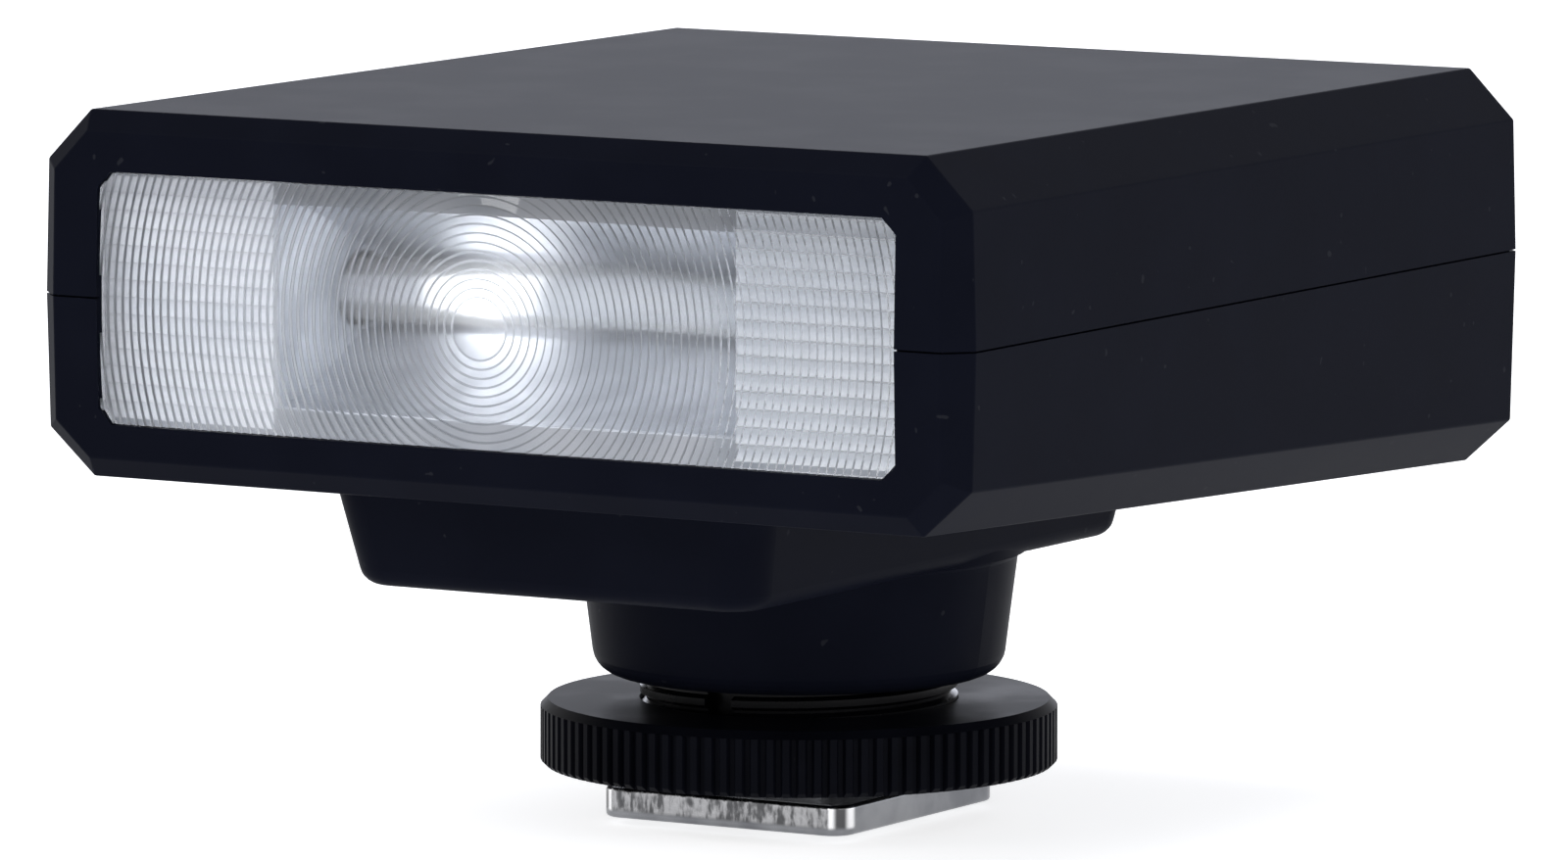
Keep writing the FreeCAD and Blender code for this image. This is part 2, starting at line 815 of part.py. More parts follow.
def reflector():
    shell = trough(reflector_wall, lens_back + frame_thick).cut(trough(0.0, lens_back + frame_thick - 0.01))
    hole = rod(tube_radius + tube_hole_gap, vec(-FAR, tube_y, window_z), RIGHT, 2 * FAR)
    return less(shell, [hole])


def reflector_frame():
    plate = octagon_plate(window_half_width + lens_flange, window_half_height + lens_flange,
                          lens_flange_corner, lens_back, frame_back, window_z)
    out_w = aperture_half_width + frame_sleeve_gap + frame_sleeve_wall + reflector_wall
    out_h = aperture_half_height + frame_sleeve_gap + frame_sleeve_wall + reflector_wall
    sleeve_back = frame_back + frame_sleeve_depth
    sleeve = block(-out_w, out_w, frame_back, sleeve_back, window_z - out_h, window_z + out_h)
    in_w = out_w - frame_sleeve_wall
    in_h = out_h - frame_sleeve_wall
    hollow = block(-in_w, in_w, frame_back, sleeve_back + 1, window_z - in_h, window_z + in_h)
    mouth = block(-aperture_half_width, aperture_half_width, lens_back - 1, frame_back + 1,
                  window_z - aperture_half_height, window_z + aperture_half_height)
    slot_half = sleeve_radius + sleeve_slot_gap
    slot = block(-FAR, FAR, tube_y - slot_half, FAR, window_z - slot_half, window_z + slot_half)
    return less(joined([plate, sleeve]), [hollow, mouth, slot])


def flash_tube():
    return rod(tube_radius, vec(-tube_half_length, tube_y, window_z), RIGHT, 2 * tube_half_length)


def on_both_ends(radius, inner, start, length):
    """A round piece at each end of the tube."""
    pieces = []
    for side in (-1, 1):
        piece = rod(radius, vec(side * start, tube_y, window_z), RIGHT * side, length)
        if inner:
            piece = piece.cut(rod(inner, vec(side * start, tube_y, window_z), RIGHT * side, length))
        pieces.append(piece)
    return Part.makeCompound(pieces)


def tube_sleeves():
    return on_both_ends(sleeve_radius, tube_radius, tube_half_length - sleeve_length,
                        sleeve_length - sleeve_end)


def tube_electrodes():
    return on_both_ends(electrode_radius, 0, tube_half_length, electrode_length)


# Shoe foot, neck and lock ring

def shoe_foot():
    plate = rounded_plate(foot_half_width, foot_half_depth, foot_corner, 0, foot_thick)
    rims = [e for e in plate.Edges if all(abs(v.Z) < 1e-4 for v in e.Vertexes)
            or all(abs(v.Z - foot_thick) < 1e-4 for v in e.Vertexes)]
    plate = plate.makeFillet(foot_edge, rims)
    stem = rounded_plate(stem_half_width, stem_half_depth, foot_corner, foot_thick - 0.5, neck_bottom_z)
    holes = [rod(block_radius + block_gap, vec(0, 0, -1), UP, FAR)]
    for x, y in four(foot_screw_x, foot_screw_y):
        holes.append(rod(small_screw_radius + screw_gap, vec(x, y, -1), UP, FAR))
        holes.append(rod(small_head_radius + screw_gap, vec(x, y, -1), UP,
                         1 + foot_head_sink + small_head_height))
    return less(joined([plate, stem]), holes)


def thread_groove(radius, z0, z1):
    """A helical groove with sloping flanks, cut into a rod of this radius."""
    over = 0.2
    path = Part.makeHelix(thread_pitch, z1 - z0, radius)
    wide, narrow = thread_pitch * thread_mouth, thread_pitch * thread_root
    corners = [vec(radius + over, 0, -wide), vec(radius - thread_depth, 0, -narrow),
               vec(radius - thread_depth, 0, narrow), vec(radius + over, 0, wide)]
    sweep = Part.BRepOffsetAPI.MakePipeShell(path)
    sweep.setFrenetMode(True)
    sweep.add(Part.makePolygon(corners + corners[:1]))
    sweep.build()
    sweep.makeSolid()
    groove = sweep.shape()
    groove.translate(vec(0, 0, z0))
    return groove


def keyways(width, inner, outer, z0, z1):
    return [block(-width / 2, width / 2, -outer, -inner, z0, z1),
            block(-width / 2, width / 2, inner, outer, z0, z1)]


def shoe_neck():
    stem = rod(neck_radius, vec(0, 0, neck_bottom_z), UP, neck_flange_z - neck_bottom_z + 0.2)
    flange_half_x = neck_screw_x + board_boss_radius
    flange_half_y = neck_screw_y + board_boss_radius
    flange = rounded_plate(flange_half_x, flange_half_y, board_boss_radius,
                           neck_flange_z, neck_flange_z + neck_flange_thick)
    neck = joined([stem, flange])
    holes = [rod(neck_bore, vec(0, 0, neck_floor_z), UP, FAR),
             rod(block_radius + block_gap, vec(0, 0, 0), UP, FAR),
             thread_groove(neck_radius, thread_start_z, thread_end_z)]
    holes += keyways(keyway_width, keyway_bottom, FAR, 0, collar_bottom_z + collar_wall)
    for x, y in four(foot_screw_x, foot_screw_y):
        holes.append(rod(small_screw_radius - pilot_gap, vec(x, y, 0), UP, neck_floor_z + 1))
    for x, y in four(neck_screw_x, neck_screw_y):
        holes.append(rod(small_screw_radius + screw_gap, vec(x, y, neck_flange_z - 0.1), UP, FAR))
    return less(neck, holes)


def lock_ring():
    tip = ring_radius
    root = ring_radius - knurl_depth
    corners = []
    step = 2 * math.pi / knurl_count
    for i in range(knurl_count):
        for share, r in ((-knurl_land / 2, tip), (knurl_land / 2, tip),
                         (0.5 - knurl_groove / 2, root), (0.5 + knurl_groove / 2, root)):
            a = step * (i + share)
            corners.append(vec(r * math.cos(a), r * math.sin(a), ring_bottom_z))
    band_solid = prism(corners, UP * (ring_knurl_top_z - ring_bottom_z))
    c = ring_bottom_chamfer
    low_envelope = turned([(0, ring_bottom_z), (tip - c, ring_bottom_z), (tip, ring_bottom_z + c),
                           (tip, ring_knurl_top_z), (0, ring_knurl_top_z)])
    top = turned([(0, ring_knurl_top_z), (tip - 0.02, ring_knurl_top_z),
                  (tip - ring_top_chamfer, ring_top_z), (0, ring_top_z)])
    ring = joined([band_solid.common(low_envelope), top])
    bore = rod(neck_radius + ring_bore_gap, vec(0, 0, 0), UP, FAR)
    recess = rod(washer_radius + washer_side_gap, vec(0, 0, 0), UP, recess_top_z)
    return less(ring, [bore, recess])


def clamp_washer():
    disc = tube(washer_radius, neck_radius + ring_bore_gap, vec(0, 0, washer_bottom_z), UP, washer_thick)
    inner = keyway_bottom + tab_side_gap
    width = keyway_width - 2 * tab_side_gap
    feet = keyways(width, inner, neck_radius + 0.6, washer_bottom_z, washer_top_z)
    tabs = keyways(width, inner, neck_radius - 0.12, washer_bottom_z, washer_bottom_z + tab_height)
    return joined([disc] + feet + tabs)


def contact_block():
    top = neck_floor_z + block_flange_thick
    body = joined([rod(block_radius, vec(0, 0, block_bottom_z), UP, top - block_bottom_z),
                   rod(block_flange_radius, vec(0, 0, neck_floor_z), UP, block_flange_thick)])
    holes = [rod(pin_radius + pin_gap, vec(0, 0, -1), UP, FAR),
             rod(pin_shoulder_radius + pin_gap, vec(0, 0, pin_ledge_z), UP, FAR),
             rod(terminal_radius, vec(0, 0, top - terminal_thick), UP, FAR)]
    return less(body, holes)


def contact_pin():
    shoulder_z = pin_ledge_z + spring_clear
    return joined([rod(pin_radius, vec(0, 0, pin_tip - pin_proud), UP, shoulder_z + pin_proud),
                   Part.makeCone(pin_radius - pin_tip, pin_radius, pin_tip, vec(0, 0, -pin_proud), UP),
                   rod(pin_shoulder_radius, vec(0, 0, shoulder_z), UP, pin_shoulder_thick)])


def contact_spring():
    z0 = pin_ledge_z + pin_shoulder_thick + spring_wire + 2 * spring_clear
    z1 = neck_floor_z + block_flange_thick - terminal_thick - spring_wire - spring_clear
    return coil(spring_radius, spring_wire, (z1 - z0) / spring_turns, z1 - z0, vec(0, 0, z0), UP)


def contact_terminal():
    z0 = neck_floor_z + block_flange_thick - terminal_thick
    return rod(terminal_radius - spring_clear, vec(0, 0, z0), UP, terminal_thick)


# Battery bay and door

def battery_box():
    y0, y1 = bay_front - box_wall, bay_back + box_wall
    x0 = bay_left + box_end_gap
    outer = block(x0, bay_right + contact_thick + box_end_wall, y0, y1,
                  bay_floor_z - box_floor, bay_top_z + box_floor)
    inner = block(x0 - 1, bay_right + contact_thick, bay_front, bay_back, bay_floor_z, bay_top_z)
    return less(outer, [inner])


def battery_cell(y, nub_side):
    """One cell along X. Its nub touches the flat contact on the side that nub_side names."""
    tip = bay_right - cell_end_gap if nub_side > 0 else bay_left + cell_end_gap
    start = tip - nub_side * nub_length
    z = bay_mid_z
    body = rod(cell_radius, vec(start, y, z), RIGHT * -nub_side, cell_length)
    rims = [e for e in body.Edges if e.Curve.TypeId == "Part::GeomCircle"]
    nub = rod(nub_radius, vec(start, y, z), RIGHT * nub_side, nub_length)
    return joined([body.makeFillet(cell_edge, rims), nub])


def cell_spring(y, nub_side):
    """The spring against a cell's flat end."""
    tip = bay_right - cell_end_gap if nub_side > 0 else bay_left + cell_end_gap
    end = tip - nub_side * (nub_length + cell_length)
    plate = bay_left if nub_side > 0 else bay_right
    reach = abs(plate - end) - 2 * cell_spring_wire - 3 * cell_spring_gap
    direction = RIGHT * nub_side
    start = vec(plate, y, bay_mid_z) + direction * (cell_spring_wire + cell_spring_gap)
    return coil(cell_spring_radius, cell_spring_wire, reach / cell_spring_turns, reach, start, direction)


def battery_contacts():
    plates = []
    for y in cell_y:
        plates.append(block(bay_right, bay_right + contact_thick, y - contact_half, y + contact_half,
                            bay_mid_z - contact_half, bay_mid_z + contact_half))
    return Part.makeCompound(plates)


def battery_door():
    skin = joined([outside(True), outside(False)])
    hollow = joined([case_space(True, wall, parting_z, FAR), case_space(False, wall, 0, parting_z)])
    plate = less(skin.common(door_hole(door_gap)), [hollow])
    below = block(-FAR, 0, -FAR, FAR, 0, hinge_z)
    plate = less(plate, [below])
    barrel = rod(barrel_radius, vec(hinge_x, bay_front + door_gap, hinge_z), BACK,
                 bay_back - bay_front - 2 * door_gap)
    mid_y = (bay_front + bay_back) / 2
    notch = block(-FAR, -case_half_width + notch_depth + 0.3, mid_y - notch_half, mid_y + notch_half,
                  bay_top_z - notch_height, FAR)
    pads = []
    for y in cell_y:
        inner_x = -side_x(parting_z) + wall
        pads.append(block(inner_x - 0.3, bay_left - contact_thick, y - contact_half, y + contact_half,
                          bay_mid_z - contact_half, bay_mid_z + contact_half))
    bore = rod(hinge_pin_radius + hinge_pin_gap, vec(hinge_x, -FAR / 2, hinge_z), BACK, FAR)
    return less(joined([plate, barrel] + pads), [bore, notch])


def door_contact():
    """The plate on the door that joins the two cells."""
    return block(bay_left - contact_thick, bay_left, cell_y[0] - contact_half, cell_y[1] + contact_half,
                 bay_mid_z - contact_half, bay_mid_z + contact_half)


def door_hinge_pin():
    start = bay_front - hinge_pin_hold
    return rod(hinge_pin_radius, vec(hinge_x, start, hinge_z), BACK,
               bay_back - bay_front + 2 * hinge_pin_hold)


# Back panel and controls

def buttons():
    return {"mode_button": (mode_x, button_radius), "minus_button": (minus_x, button_radius),
            "plus_button": (plus_x, button_radius), "test_button": (test_x, test_radius)}


def push_button(x, radius):
    z = button_row_z
    cap = rod(radius, vec(x, button_back, z), BACK, panel_face + button_proud - button_back)
    rim = [e for e in cap.Edges if e.Curve.TypeId == "Part::GeomCircle" and e.CenterOfMass.y > panel_face]
    cap = cap.makeFillet(cap_edge, rim)
    return joined([cap, rod(radius + button_flange, vec(x, button_back, z), BACK, button_flange_thick)])


def light_places():
    return [light_pitch * (i - (light_count - 1) / 2) for i in range(light_count)]


def rear_panel():
    plate = octagon_plate(panel_half_width - panel_gap, panel_half_height - panel_gap, panel_corner,
                          panel_seat - 0.1, panel_face, window_z)
    flange = octagon_plate(panel_half_width + panel_flange, panel_half_height + panel_flange, panel_corner,
                           panel_back, panel_seat - 0.02, window_z)
    posts = [rod(post_radius, vec(s * post_x, control_face, window_z), BACK, panel_back - control_face + 0.1)
             for s in (-1, 1)]
    holes = []
    for x, radius in buttons().values():
        holes.append(rod(radius + button_gap, vec(x, 0, button_row_z), BACK, FAR))
    slot_left = slider_x - slider_width / 2 - slider_gap
    slot_right = slider_x + slider_width / 2 + slider_travel + slider_gap
    slot_half = slider_height / 2 + slider_gap
    holes.append(block(slot_left, slot_right, 0, FAR, button_row_z - slot_half, button_row_z + slot_half))
    holes += [rod(light_radius + light_gap, vec(x, 0, light_z), BACK, FAR) for x in light_places()]
    holes.append(rod(lamp_radius + light_gap, vec(test_x, 0, lamp_z), BACK, FAR))
    for s in (-1, 1):
        holes.append(rod(small_screw_radius - pilot_gap, vec(s * post_x, 0, window_z), BACK,
                         panel_back + panel_screw_hold + 0.1))
    return less(joined([plate, flange] + posts), holes)


def power_slider():
    knob = block(slider_x - slider_width / 2, slider_x + slider_width / 2,
                 panel_back - 0.2, panel_face + slider_proud,
                 button_row_z - slider_height / 2, button_row_z + slider_height / 2)
    y1 = panel_back - stop_gap
    half_width = slider_width / 2 + slider_plate_gap
    half_height = slider_height / 2 + slider_plate_gap
    plate = block(slider_x - half_width, slider_x + half_width, y1 - slider_plate_thick, y1,
                  button_row_z - half_height, button_row_z + half_height)
    knob = joined([knob, plate])
    grooves = []
    for i in (-1, 0, 1):
        x = slider_x + grip_pitch * i
        grooves.append(block(x - grip_width / 2, x + grip_width / 2,
                             panel_face + slider_proud - grip_depth, FAR, 0, FAR))
    return less(knob, grooves)


def light_pipe():
    xs = light_places()
    bar = block(xs[0] - light_bar_end, xs[-1] + light_bar_end, panel_back - light_bar_thick, panel_back,
                light_z - light_bar_half, light_z + light_bar_half)
    length = panel_face + light_proud - panel_back
    pips = [rod(light_radius, vec(x, panel_back, light_z), BACK, length) for x in xs]
    return joined([bar] + pips)


def ready_lamp():
    start = vec(test_x, panel_back - lamp_flange, lamp_z)
    lens = rod(lamp_radius, start, BACK, panel_face + lamp_proud - panel_back + lamp_flange)
    rim = [e for e in lens.Edges if e.Curve.TypeId == "Part::GeomCircle" and e.CenterOfMass.y > panel_face]
    collar = rod(lamp_radius + lamp_flange, start, BACK, lamp_flange)
    return joined([lens.makeFillet(cap_edge, rim), collar])


def control_board():
    y1 = control_face
    board = block(-control_board_half_width, control_board_half_width, y1 - control_board_thick, y1,
                  window_z - control_board_half_height, window_z + control_board_half_height)
    holes = [rod(small_screw_radius + screw_gap, vec(s * post_x, 0, window_z), BACK, FAR) for s in (-1, 1)]
    return less(board, holes)


def tact_switches():
    switches = []
    for x, radius in buttons().values():
        base = block(x - switch_half, x + switch_half, control_face, control_face + switch_thick,
                     button_row_z - switch_half, button_row_z + switch_half)
        switches.append(joined([base, rod(plunger_radius, vec(x, control_face, button_row_z), BACK,
                                          switch_thick + plunger_height)]))
    return Part.makeCompound(switches)


def slide_switch():
    mid = slider_x + slider_travel / 2
    return block(mid - slide_switch_half_width, mid + slide_switch_half_width, control_face,
                 control_face + slide_switch_thick, button_row_z - slide_switch_half_height,
                 button_row_z + slide_switch_half_height)


def indicator_leds():
    places = [(x, light_z) for x in light_places()] + [(test_x, lamp_z)]
    return Part.makeCompound([block(x - led_half_width, x + led_half_width,
                                    control_face, control_face + led_thick,
                                    z - led_half_height, z + led_half_height) for x, z in places])


# Power circuit

def main_board():
    board = block(-board_half_width, board_half_width, board_front, board_back, board_z0, board_z1)
    holes = [rod(small_screw_radius + screw_gap, vec(x, y + board_mid_y, 0), UP, FAR) for x, y in board_posts]
    return less(board, holes)


def main_capacitor():
    can = rod(capacitor_radius, vec(capacitor_left, capacitor_y, capacitor_z), RIGHT, capacitor_length)
    left_rim = [e for e in can.Edges if e.Curve.TypeId == "Part::GeomCircle"
                and e.CenterOfMass.x < capacitor_left + 1]
    return can.makeFillet(capacitor_edge, left_rim)


def capacitor_seal():
    x = capacitor_left + capacitor_length
    return rod(capacitor_radius - seal_inset, vec(x, capacitor_y, capacitor_z), RIGHT, seal_length)


def capacitor_leads():
    leads = []
    x0 = capacitor_left + capacitor_length + seal_length
    for s in (-1, 1):
        start = vec(x0, capacitor_y + s * lead_spacing, capacitor_z)
        leads.append(bent_wire(lead_radius, lead_bend, start, lead_reach, board_z0 - capacitor_z))
    return Part.makeCompound(leads)


def transformer_core():
    z0 = board_z0 - core_height
    y0 = capacitor_y - core_depth / 2
    core = block(core_x - core_width / 2, core_x + core_width / 2, y0, y0 + core_depth, z0, board_z0)
    low = board_z0 - (core_height + winding_height) / 2
    window = block(core_x - winding_radius, core_x + winding_radius, y0 - 1, y0 + core_depth + 1,
                   low, low + winding_height)
    leg = rod(core_leg_radius, vec(core_x, capacitor_y, low), UP, winding_height)
    return joined([less(core, [window]), leg])


def transformer_winding():
    low = board_z0 - (core_height + winding_height) / 2
    return tube(winding_radius - 0.05, core_leg_radius, vec(core_x, capacitor_y, low), UP, winding_height)


def trigger_coil():
    start = vec(trigger_x, board_front + trigger_radius, board_z0 - trigger_radius)
    core = rod(trigger_core_radius, start - RIGHT * trigger_core_reach, RIGHT,
               trigger_length + 2 * trigger_core_reach)
    return joined([rod(trigger_radius, start, RIGHT, trigger_length), core])


def power_transistor():
    y0 = capacitor_y - transistor_width / 2 + transistor_shift
    body = block(transistor_x, transistor_x + transistor_thick, y0, y0 + transistor_width,
                 board_z0 - transistor_height, board_z0 - leg_length)
    leg_x = transistor_x + (transistor_thick - leg_thick) / 2
    legs = []
    for i in (-1, 0, 1):
        y = y0 + transistor_width / 2 + i * leg_pitch - leg_width / 2
        legs.append(block(leg_x, leg_x + leg_thick, y, y + leg_width, board_z0 - leg_length - 0.5, board_z0))
    return joined([body] + legs)


def part_on_board(size, x, y, under):
    """A block with its left front corner at x, y, under the board or on top of it."""
    wide, deep, high = size
    z = board_z0 - high if under else board_z1
    return block(x, x + wide, y, y + deep, z, z + high)


def board_parts():
    pieces = []
    for i in range(small_part_count):
        x = small_part_left + i * small_part_pitch
        pieces.append(part_on_board(small_part, x, board_back - small_part_back, True))
    pieces.append(part_on_board(filter_part, 0.0, board_front + filter_front, True))
    pieces.append(part_on_board(wide_chip, small_part_left, board_mid_y, False))
    pieces.append(part_on_board(narrow_chip, narrow_chip_place[0], board_front + narrow_chip_place[1], False))
    return Part.makeCompound(pieces)


# Fasteners

def case_screws():
    return Part.makeCompound([screw(case_head_radius, case_head_height, case_screw_radius - screw_gap,
                                    parting_z + case_screw_reach - bottom_z(y) - case_screw_seat,
                                    vec(x, y, bottom_z(y) + case_screw_seat), UP)
                              for x, y in case_boss_places()])


def foot_screws():
    seat = foot_head_sink + small_head_height
    return Part.makeCompound([screw(small_head_radius, small_head_height, small_screw_radius - pilot_gap,
                                    neck_floor_z - seat - foot_screw_short, vec(x, y, seat), UP)
                              for x, y in four(foot_screw_x, foot_screw_y)])


def neck_screws():
    seat = neck_flange_z + neck_flange_thick
    return Part.makeCompound([screw(small_head_radius, small_head_height, small_screw_radius - pilot_gap,
                                    neck_flange_thick + neck_screw_hold, vec(x, y, seat), UP * -1)
                              for x, y in four(neck_screw_x, neck_screw_y)])


def board_screws():
    length = board_thick + board_drop + board_screw_hold
    return Part.makeCompound([screw(small_head_radius, small_head_height, small_screw_radius - pilot_gap,
                                    length, vec(x, y + board_mid_y, board_z0), UP)
                              for x, y in board_posts])


def panel_screws():
    y = control_face - control_board_thick
    return Part.makeCompound([screw(small_head_radius, small_head_height, small_screw_radius - pilot_gap,
                                    panel_back + panel_screw_hold - y, vec(s * post_x, y, window_z), BACK)
                              for s in (-1, 1)])


def main():
    os.makedirs("parts", exist_ok=True)
    pieces = {
        "upper_shell": upper_shell(), "lower_shell": lower_shell(),
        "fresnel_lens": fresnel_lens(), "reflector_frame": reflector_frame(), "reflector": reflector(),
        "flash_tube": flash_tube(), "tube_sleeves": tube_sleeves(), "tube_electrodes": tube_electrodes(),
        "shoe_foot": shoe_foot(), "shoe_neck": shoe_neck(), "lock_ring": lock_ring(),
        "clamp_washer": clamp_washer(),
        "contact_block": contact_block(), "contact_pin": contact_pin(), "contact_spring": contact_spring(),
        "contact_terminal": contact_terminal(),
        "battery_box": battery_box(), "battery_contacts": battery_contacts(),
        "battery_cells": Part.makeCompound([battery_cell(cell_y[0], 1), battery_cell(cell_y[1], -1)]),
        "battery_spring": cell_spring(cell_y[1], -1), "door_spring": cell_spring(cell_y[0], 1),
        "battery_door": battery_door(), "door_contact": door_contact(), "door_hinge_pin": door_hinge_pin(),
        "rear_panel": rear_panel(), "power_slider": power_slider(), "light_pipe": light_pipe(),
        "ready_lamp": ready_lamp(), "control_board": control_board(), "tact_switches": tact_switches(),
        "slide_switch": slide_switch(), "indicator_leds": indicator_leds(),
        "main_board": main_board(), "main_capacitor": main_capacitor(), "capacitor_seal": capacitor_seal(),
        "capacitor_leads": capacitor_leads(), "transformer_core": transformer_core(),
        "transformer_winding": transformer_winding(), "trigger_coil": trigger_coil(),
        "power_transistor": power_transistor(), "board_parts": board_parts(),
        "case_screws": case_screws(), "foot_screws": foot_screws(), "neck_screws": neck_screws(),
        "board_screws": board_screws(), "panel_screws": panel_screws(),
    }
    for name, (x, radius) in buttons().items():
        pieces[name] = push_button(x, radius)
    for name, shape in pieces.items():
        print(name, "solids", len(shape.Solids), "volume", round(shape.Volume, 2), "valid", shape.isValid())
        shape.exportStep("parts/" + name + ".step")


main()
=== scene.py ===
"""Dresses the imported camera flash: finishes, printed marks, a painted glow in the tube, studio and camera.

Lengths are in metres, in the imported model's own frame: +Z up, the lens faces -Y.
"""

import json
import logging
import math
from dataclasses import dataclass, field
from enum import Enum

import bmesh
import bpy
from mathutils import Matrix, Vector

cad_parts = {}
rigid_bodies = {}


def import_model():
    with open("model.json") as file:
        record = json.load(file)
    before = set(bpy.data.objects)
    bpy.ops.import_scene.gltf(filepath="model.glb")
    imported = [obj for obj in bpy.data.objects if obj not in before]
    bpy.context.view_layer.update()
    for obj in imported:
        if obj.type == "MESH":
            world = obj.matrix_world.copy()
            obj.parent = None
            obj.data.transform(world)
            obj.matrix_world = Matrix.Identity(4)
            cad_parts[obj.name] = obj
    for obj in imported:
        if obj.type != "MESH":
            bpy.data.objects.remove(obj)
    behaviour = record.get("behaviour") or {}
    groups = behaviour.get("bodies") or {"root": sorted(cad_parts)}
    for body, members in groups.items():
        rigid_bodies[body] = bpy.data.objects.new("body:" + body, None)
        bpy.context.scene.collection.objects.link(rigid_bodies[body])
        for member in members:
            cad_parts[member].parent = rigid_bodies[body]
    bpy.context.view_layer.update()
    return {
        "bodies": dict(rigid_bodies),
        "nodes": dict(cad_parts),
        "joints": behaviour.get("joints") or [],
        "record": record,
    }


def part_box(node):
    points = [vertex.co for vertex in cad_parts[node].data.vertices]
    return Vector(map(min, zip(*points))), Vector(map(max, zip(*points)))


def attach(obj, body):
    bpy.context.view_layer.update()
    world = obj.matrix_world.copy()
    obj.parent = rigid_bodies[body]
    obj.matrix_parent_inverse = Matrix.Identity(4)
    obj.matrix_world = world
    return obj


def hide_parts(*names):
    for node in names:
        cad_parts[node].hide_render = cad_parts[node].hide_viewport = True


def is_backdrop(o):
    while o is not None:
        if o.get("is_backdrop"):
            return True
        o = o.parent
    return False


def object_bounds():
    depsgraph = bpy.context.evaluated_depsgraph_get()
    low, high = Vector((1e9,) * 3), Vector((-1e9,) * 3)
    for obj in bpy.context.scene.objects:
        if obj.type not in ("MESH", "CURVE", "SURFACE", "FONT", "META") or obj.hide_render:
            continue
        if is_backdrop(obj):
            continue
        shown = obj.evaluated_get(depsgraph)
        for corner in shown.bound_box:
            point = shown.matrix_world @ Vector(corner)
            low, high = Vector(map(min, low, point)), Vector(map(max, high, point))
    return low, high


LOG = logging.getLogger("camera_flash")

MM = 0.001
IMAGE_WIDTH = 1600

Colour = tuple[float, float, float]
Point = tuple[float, float, float]
Paint = tuple[float, float, float, float]
Feed = bpy.types.NodeSocket | float | tuple[float, ...]


# Node helpers


class Kind(Enum):
    """The socket kinds that a shader group's interface uses."""

    COLOUR = "NodeSocketColor"
    VALUE = "NodeSocketFloat"
    VECTOR = "NodeSocketVector"


@dataclass
class Graph:
    """Adds and joins nodes in one node tree."""

    tree: bpy.types.NodeTree

    def add(self, kind: str, settings: dict | None = None, inputs: dict | None = None) -> bpy.types.Node:
        """Makes one node.

        Args:
            kind: the node's Blender type name.
            settings: attributes of the node itself.
            inputs: values or sockets for its inputs, by name or number.

        Returns:
            The new node.
        """
        node = self.tree.nodes.new(kind)
        for name, value in (settings or {}).items():
            setattr(node, name, value)
        for name, value in (inputs or {}).items():
            self.feed(node.inputs[name], value)
        return node

    def feed(self, socket: bpy.types.NodeSocket, value: Feed) -> None:
        """Links a socket to an input, or sets the input's plain value.

        Args:
            socket: the input.
            value: another node's output, or a number, colour or vector.
        """
        if isinstance(value, bpy.types.NodeSocket):
            self.tree.links.new(value, socket)
        else:
            socket.default_value = value

    def math(self, operation: str, first: Feed, second: Feed = 0.0) -> bpy.types.NodeSocket:
        """One arithmetic step.

        Args:
            operation: the math node's operation.
            first: its first input.
            second: its second input.

        Returns:
            The result's socket.
        """
        return self.add("ShaderNodeMath", {"operation": operation}, {0: first, 1: second}).outputs[0]

    def ramp(self, value: Feed, low: float, high: float, to_low: Feed = 0.0,
             to_high: Feed = 1.0) -> bpy.types.NodeSocket:
        """A smooth change of a value from one range to another.

        Args:
            value: the changing input.
            low: where the change starts.
            high: where it ends.
            to_low: the result at and before low.
            to_high: the result at and after high.

        Returns:
            The result's socket.
        """
        ends = {"Value": value, "From Min": low, "From Max": high, "To Min": to_low, "To Max": to_high}
        node = self.add("ShaderNodeMapRange", {"interpolation_type": "SMOOTHSTEP"}, ends)
        return node.outputs["Result"]

    def mix(self, share: Feed, first: Feed, second: Feed) -> bpy.types.NodeSocket:
        """A colour between two colours.

        Args:
            share: 0 for the first colour, 1 for the second.
            first: the first colour.
            second: the second colour.

        Returns:
            The mixed colour's socket.
        """
        node = self.add("ShaderNodeMix", {"data_type": "RGBA"})
        self.feed(node.inputs["Factor"], share)
        self.feed(node.inputs[6], first)
        self.feed(node.inputs[7], second)
        return node.outputs[2]

    def noise(self, place: Feed, scale: Feed, detail: float = 2.0) -> bpy.types.NodeSocket:
        """Soft random values over the surface.

        Args:
            place: the coordinates.
            scale: grains per metre.
            detail: how many finer layers are added.

        Returns:
            The value's socket.
        """
        node = self.add("ShaderNodeTexNoise", {}, {"Vector": place, "Scale": scale, "Detail": detail})
        return node.outputs["Fac"]

    def place(self) -> bpy.types.NodeSocket:
        """The surface point in the object's own frame."""
        return self.add("ShaderNodeTexCoord").outputs["Object"]

    def bump(self, height: Feed, depth: Feed) -> bpy.types.NodeSocket:
        """A normal that follows a height.

        Args:
            height: the height, 0 to 1.
            depth: the height's real size in metres.

        Returns:
            The normal's socket.
        """
        return self.add("ShaderNodeBump", {}, {"Height": height, "Distance": depth}).outputs["Normal"]


def new_group(name: str, inputs: dict[str, tuple[Kind, Feed]],
              outputs: dict[str, Kind]) -> tuple[Graph, bpy.types.Node, bpy.types.Node]:
    """An empty shader group with its interface.

    Args:
        name: the group's name.
        inputs: each input's kind and default.
        outputs: each output's kind.

    Returns:
        The group's graph, its input node and its output node.
    """
    tree = bpy.data.node_groups.new(name, "ShaderNodeTree")
    for label, (kind, default) in inputs.items():
        socket = tree.interface.new_socket(label, in_out="INPUT", socket_type=kind.value)
        socket.default_value = default
    for label, kind in outputs.items():
        tree.interface.new_socket(label, in_out="OUTPUT", socket_type=kind.value)
    graph = Graph(tree)
    return graph, graph.add("NodeGroupInput"), graph.add("NodeGroupOutput")


# Surface patterns


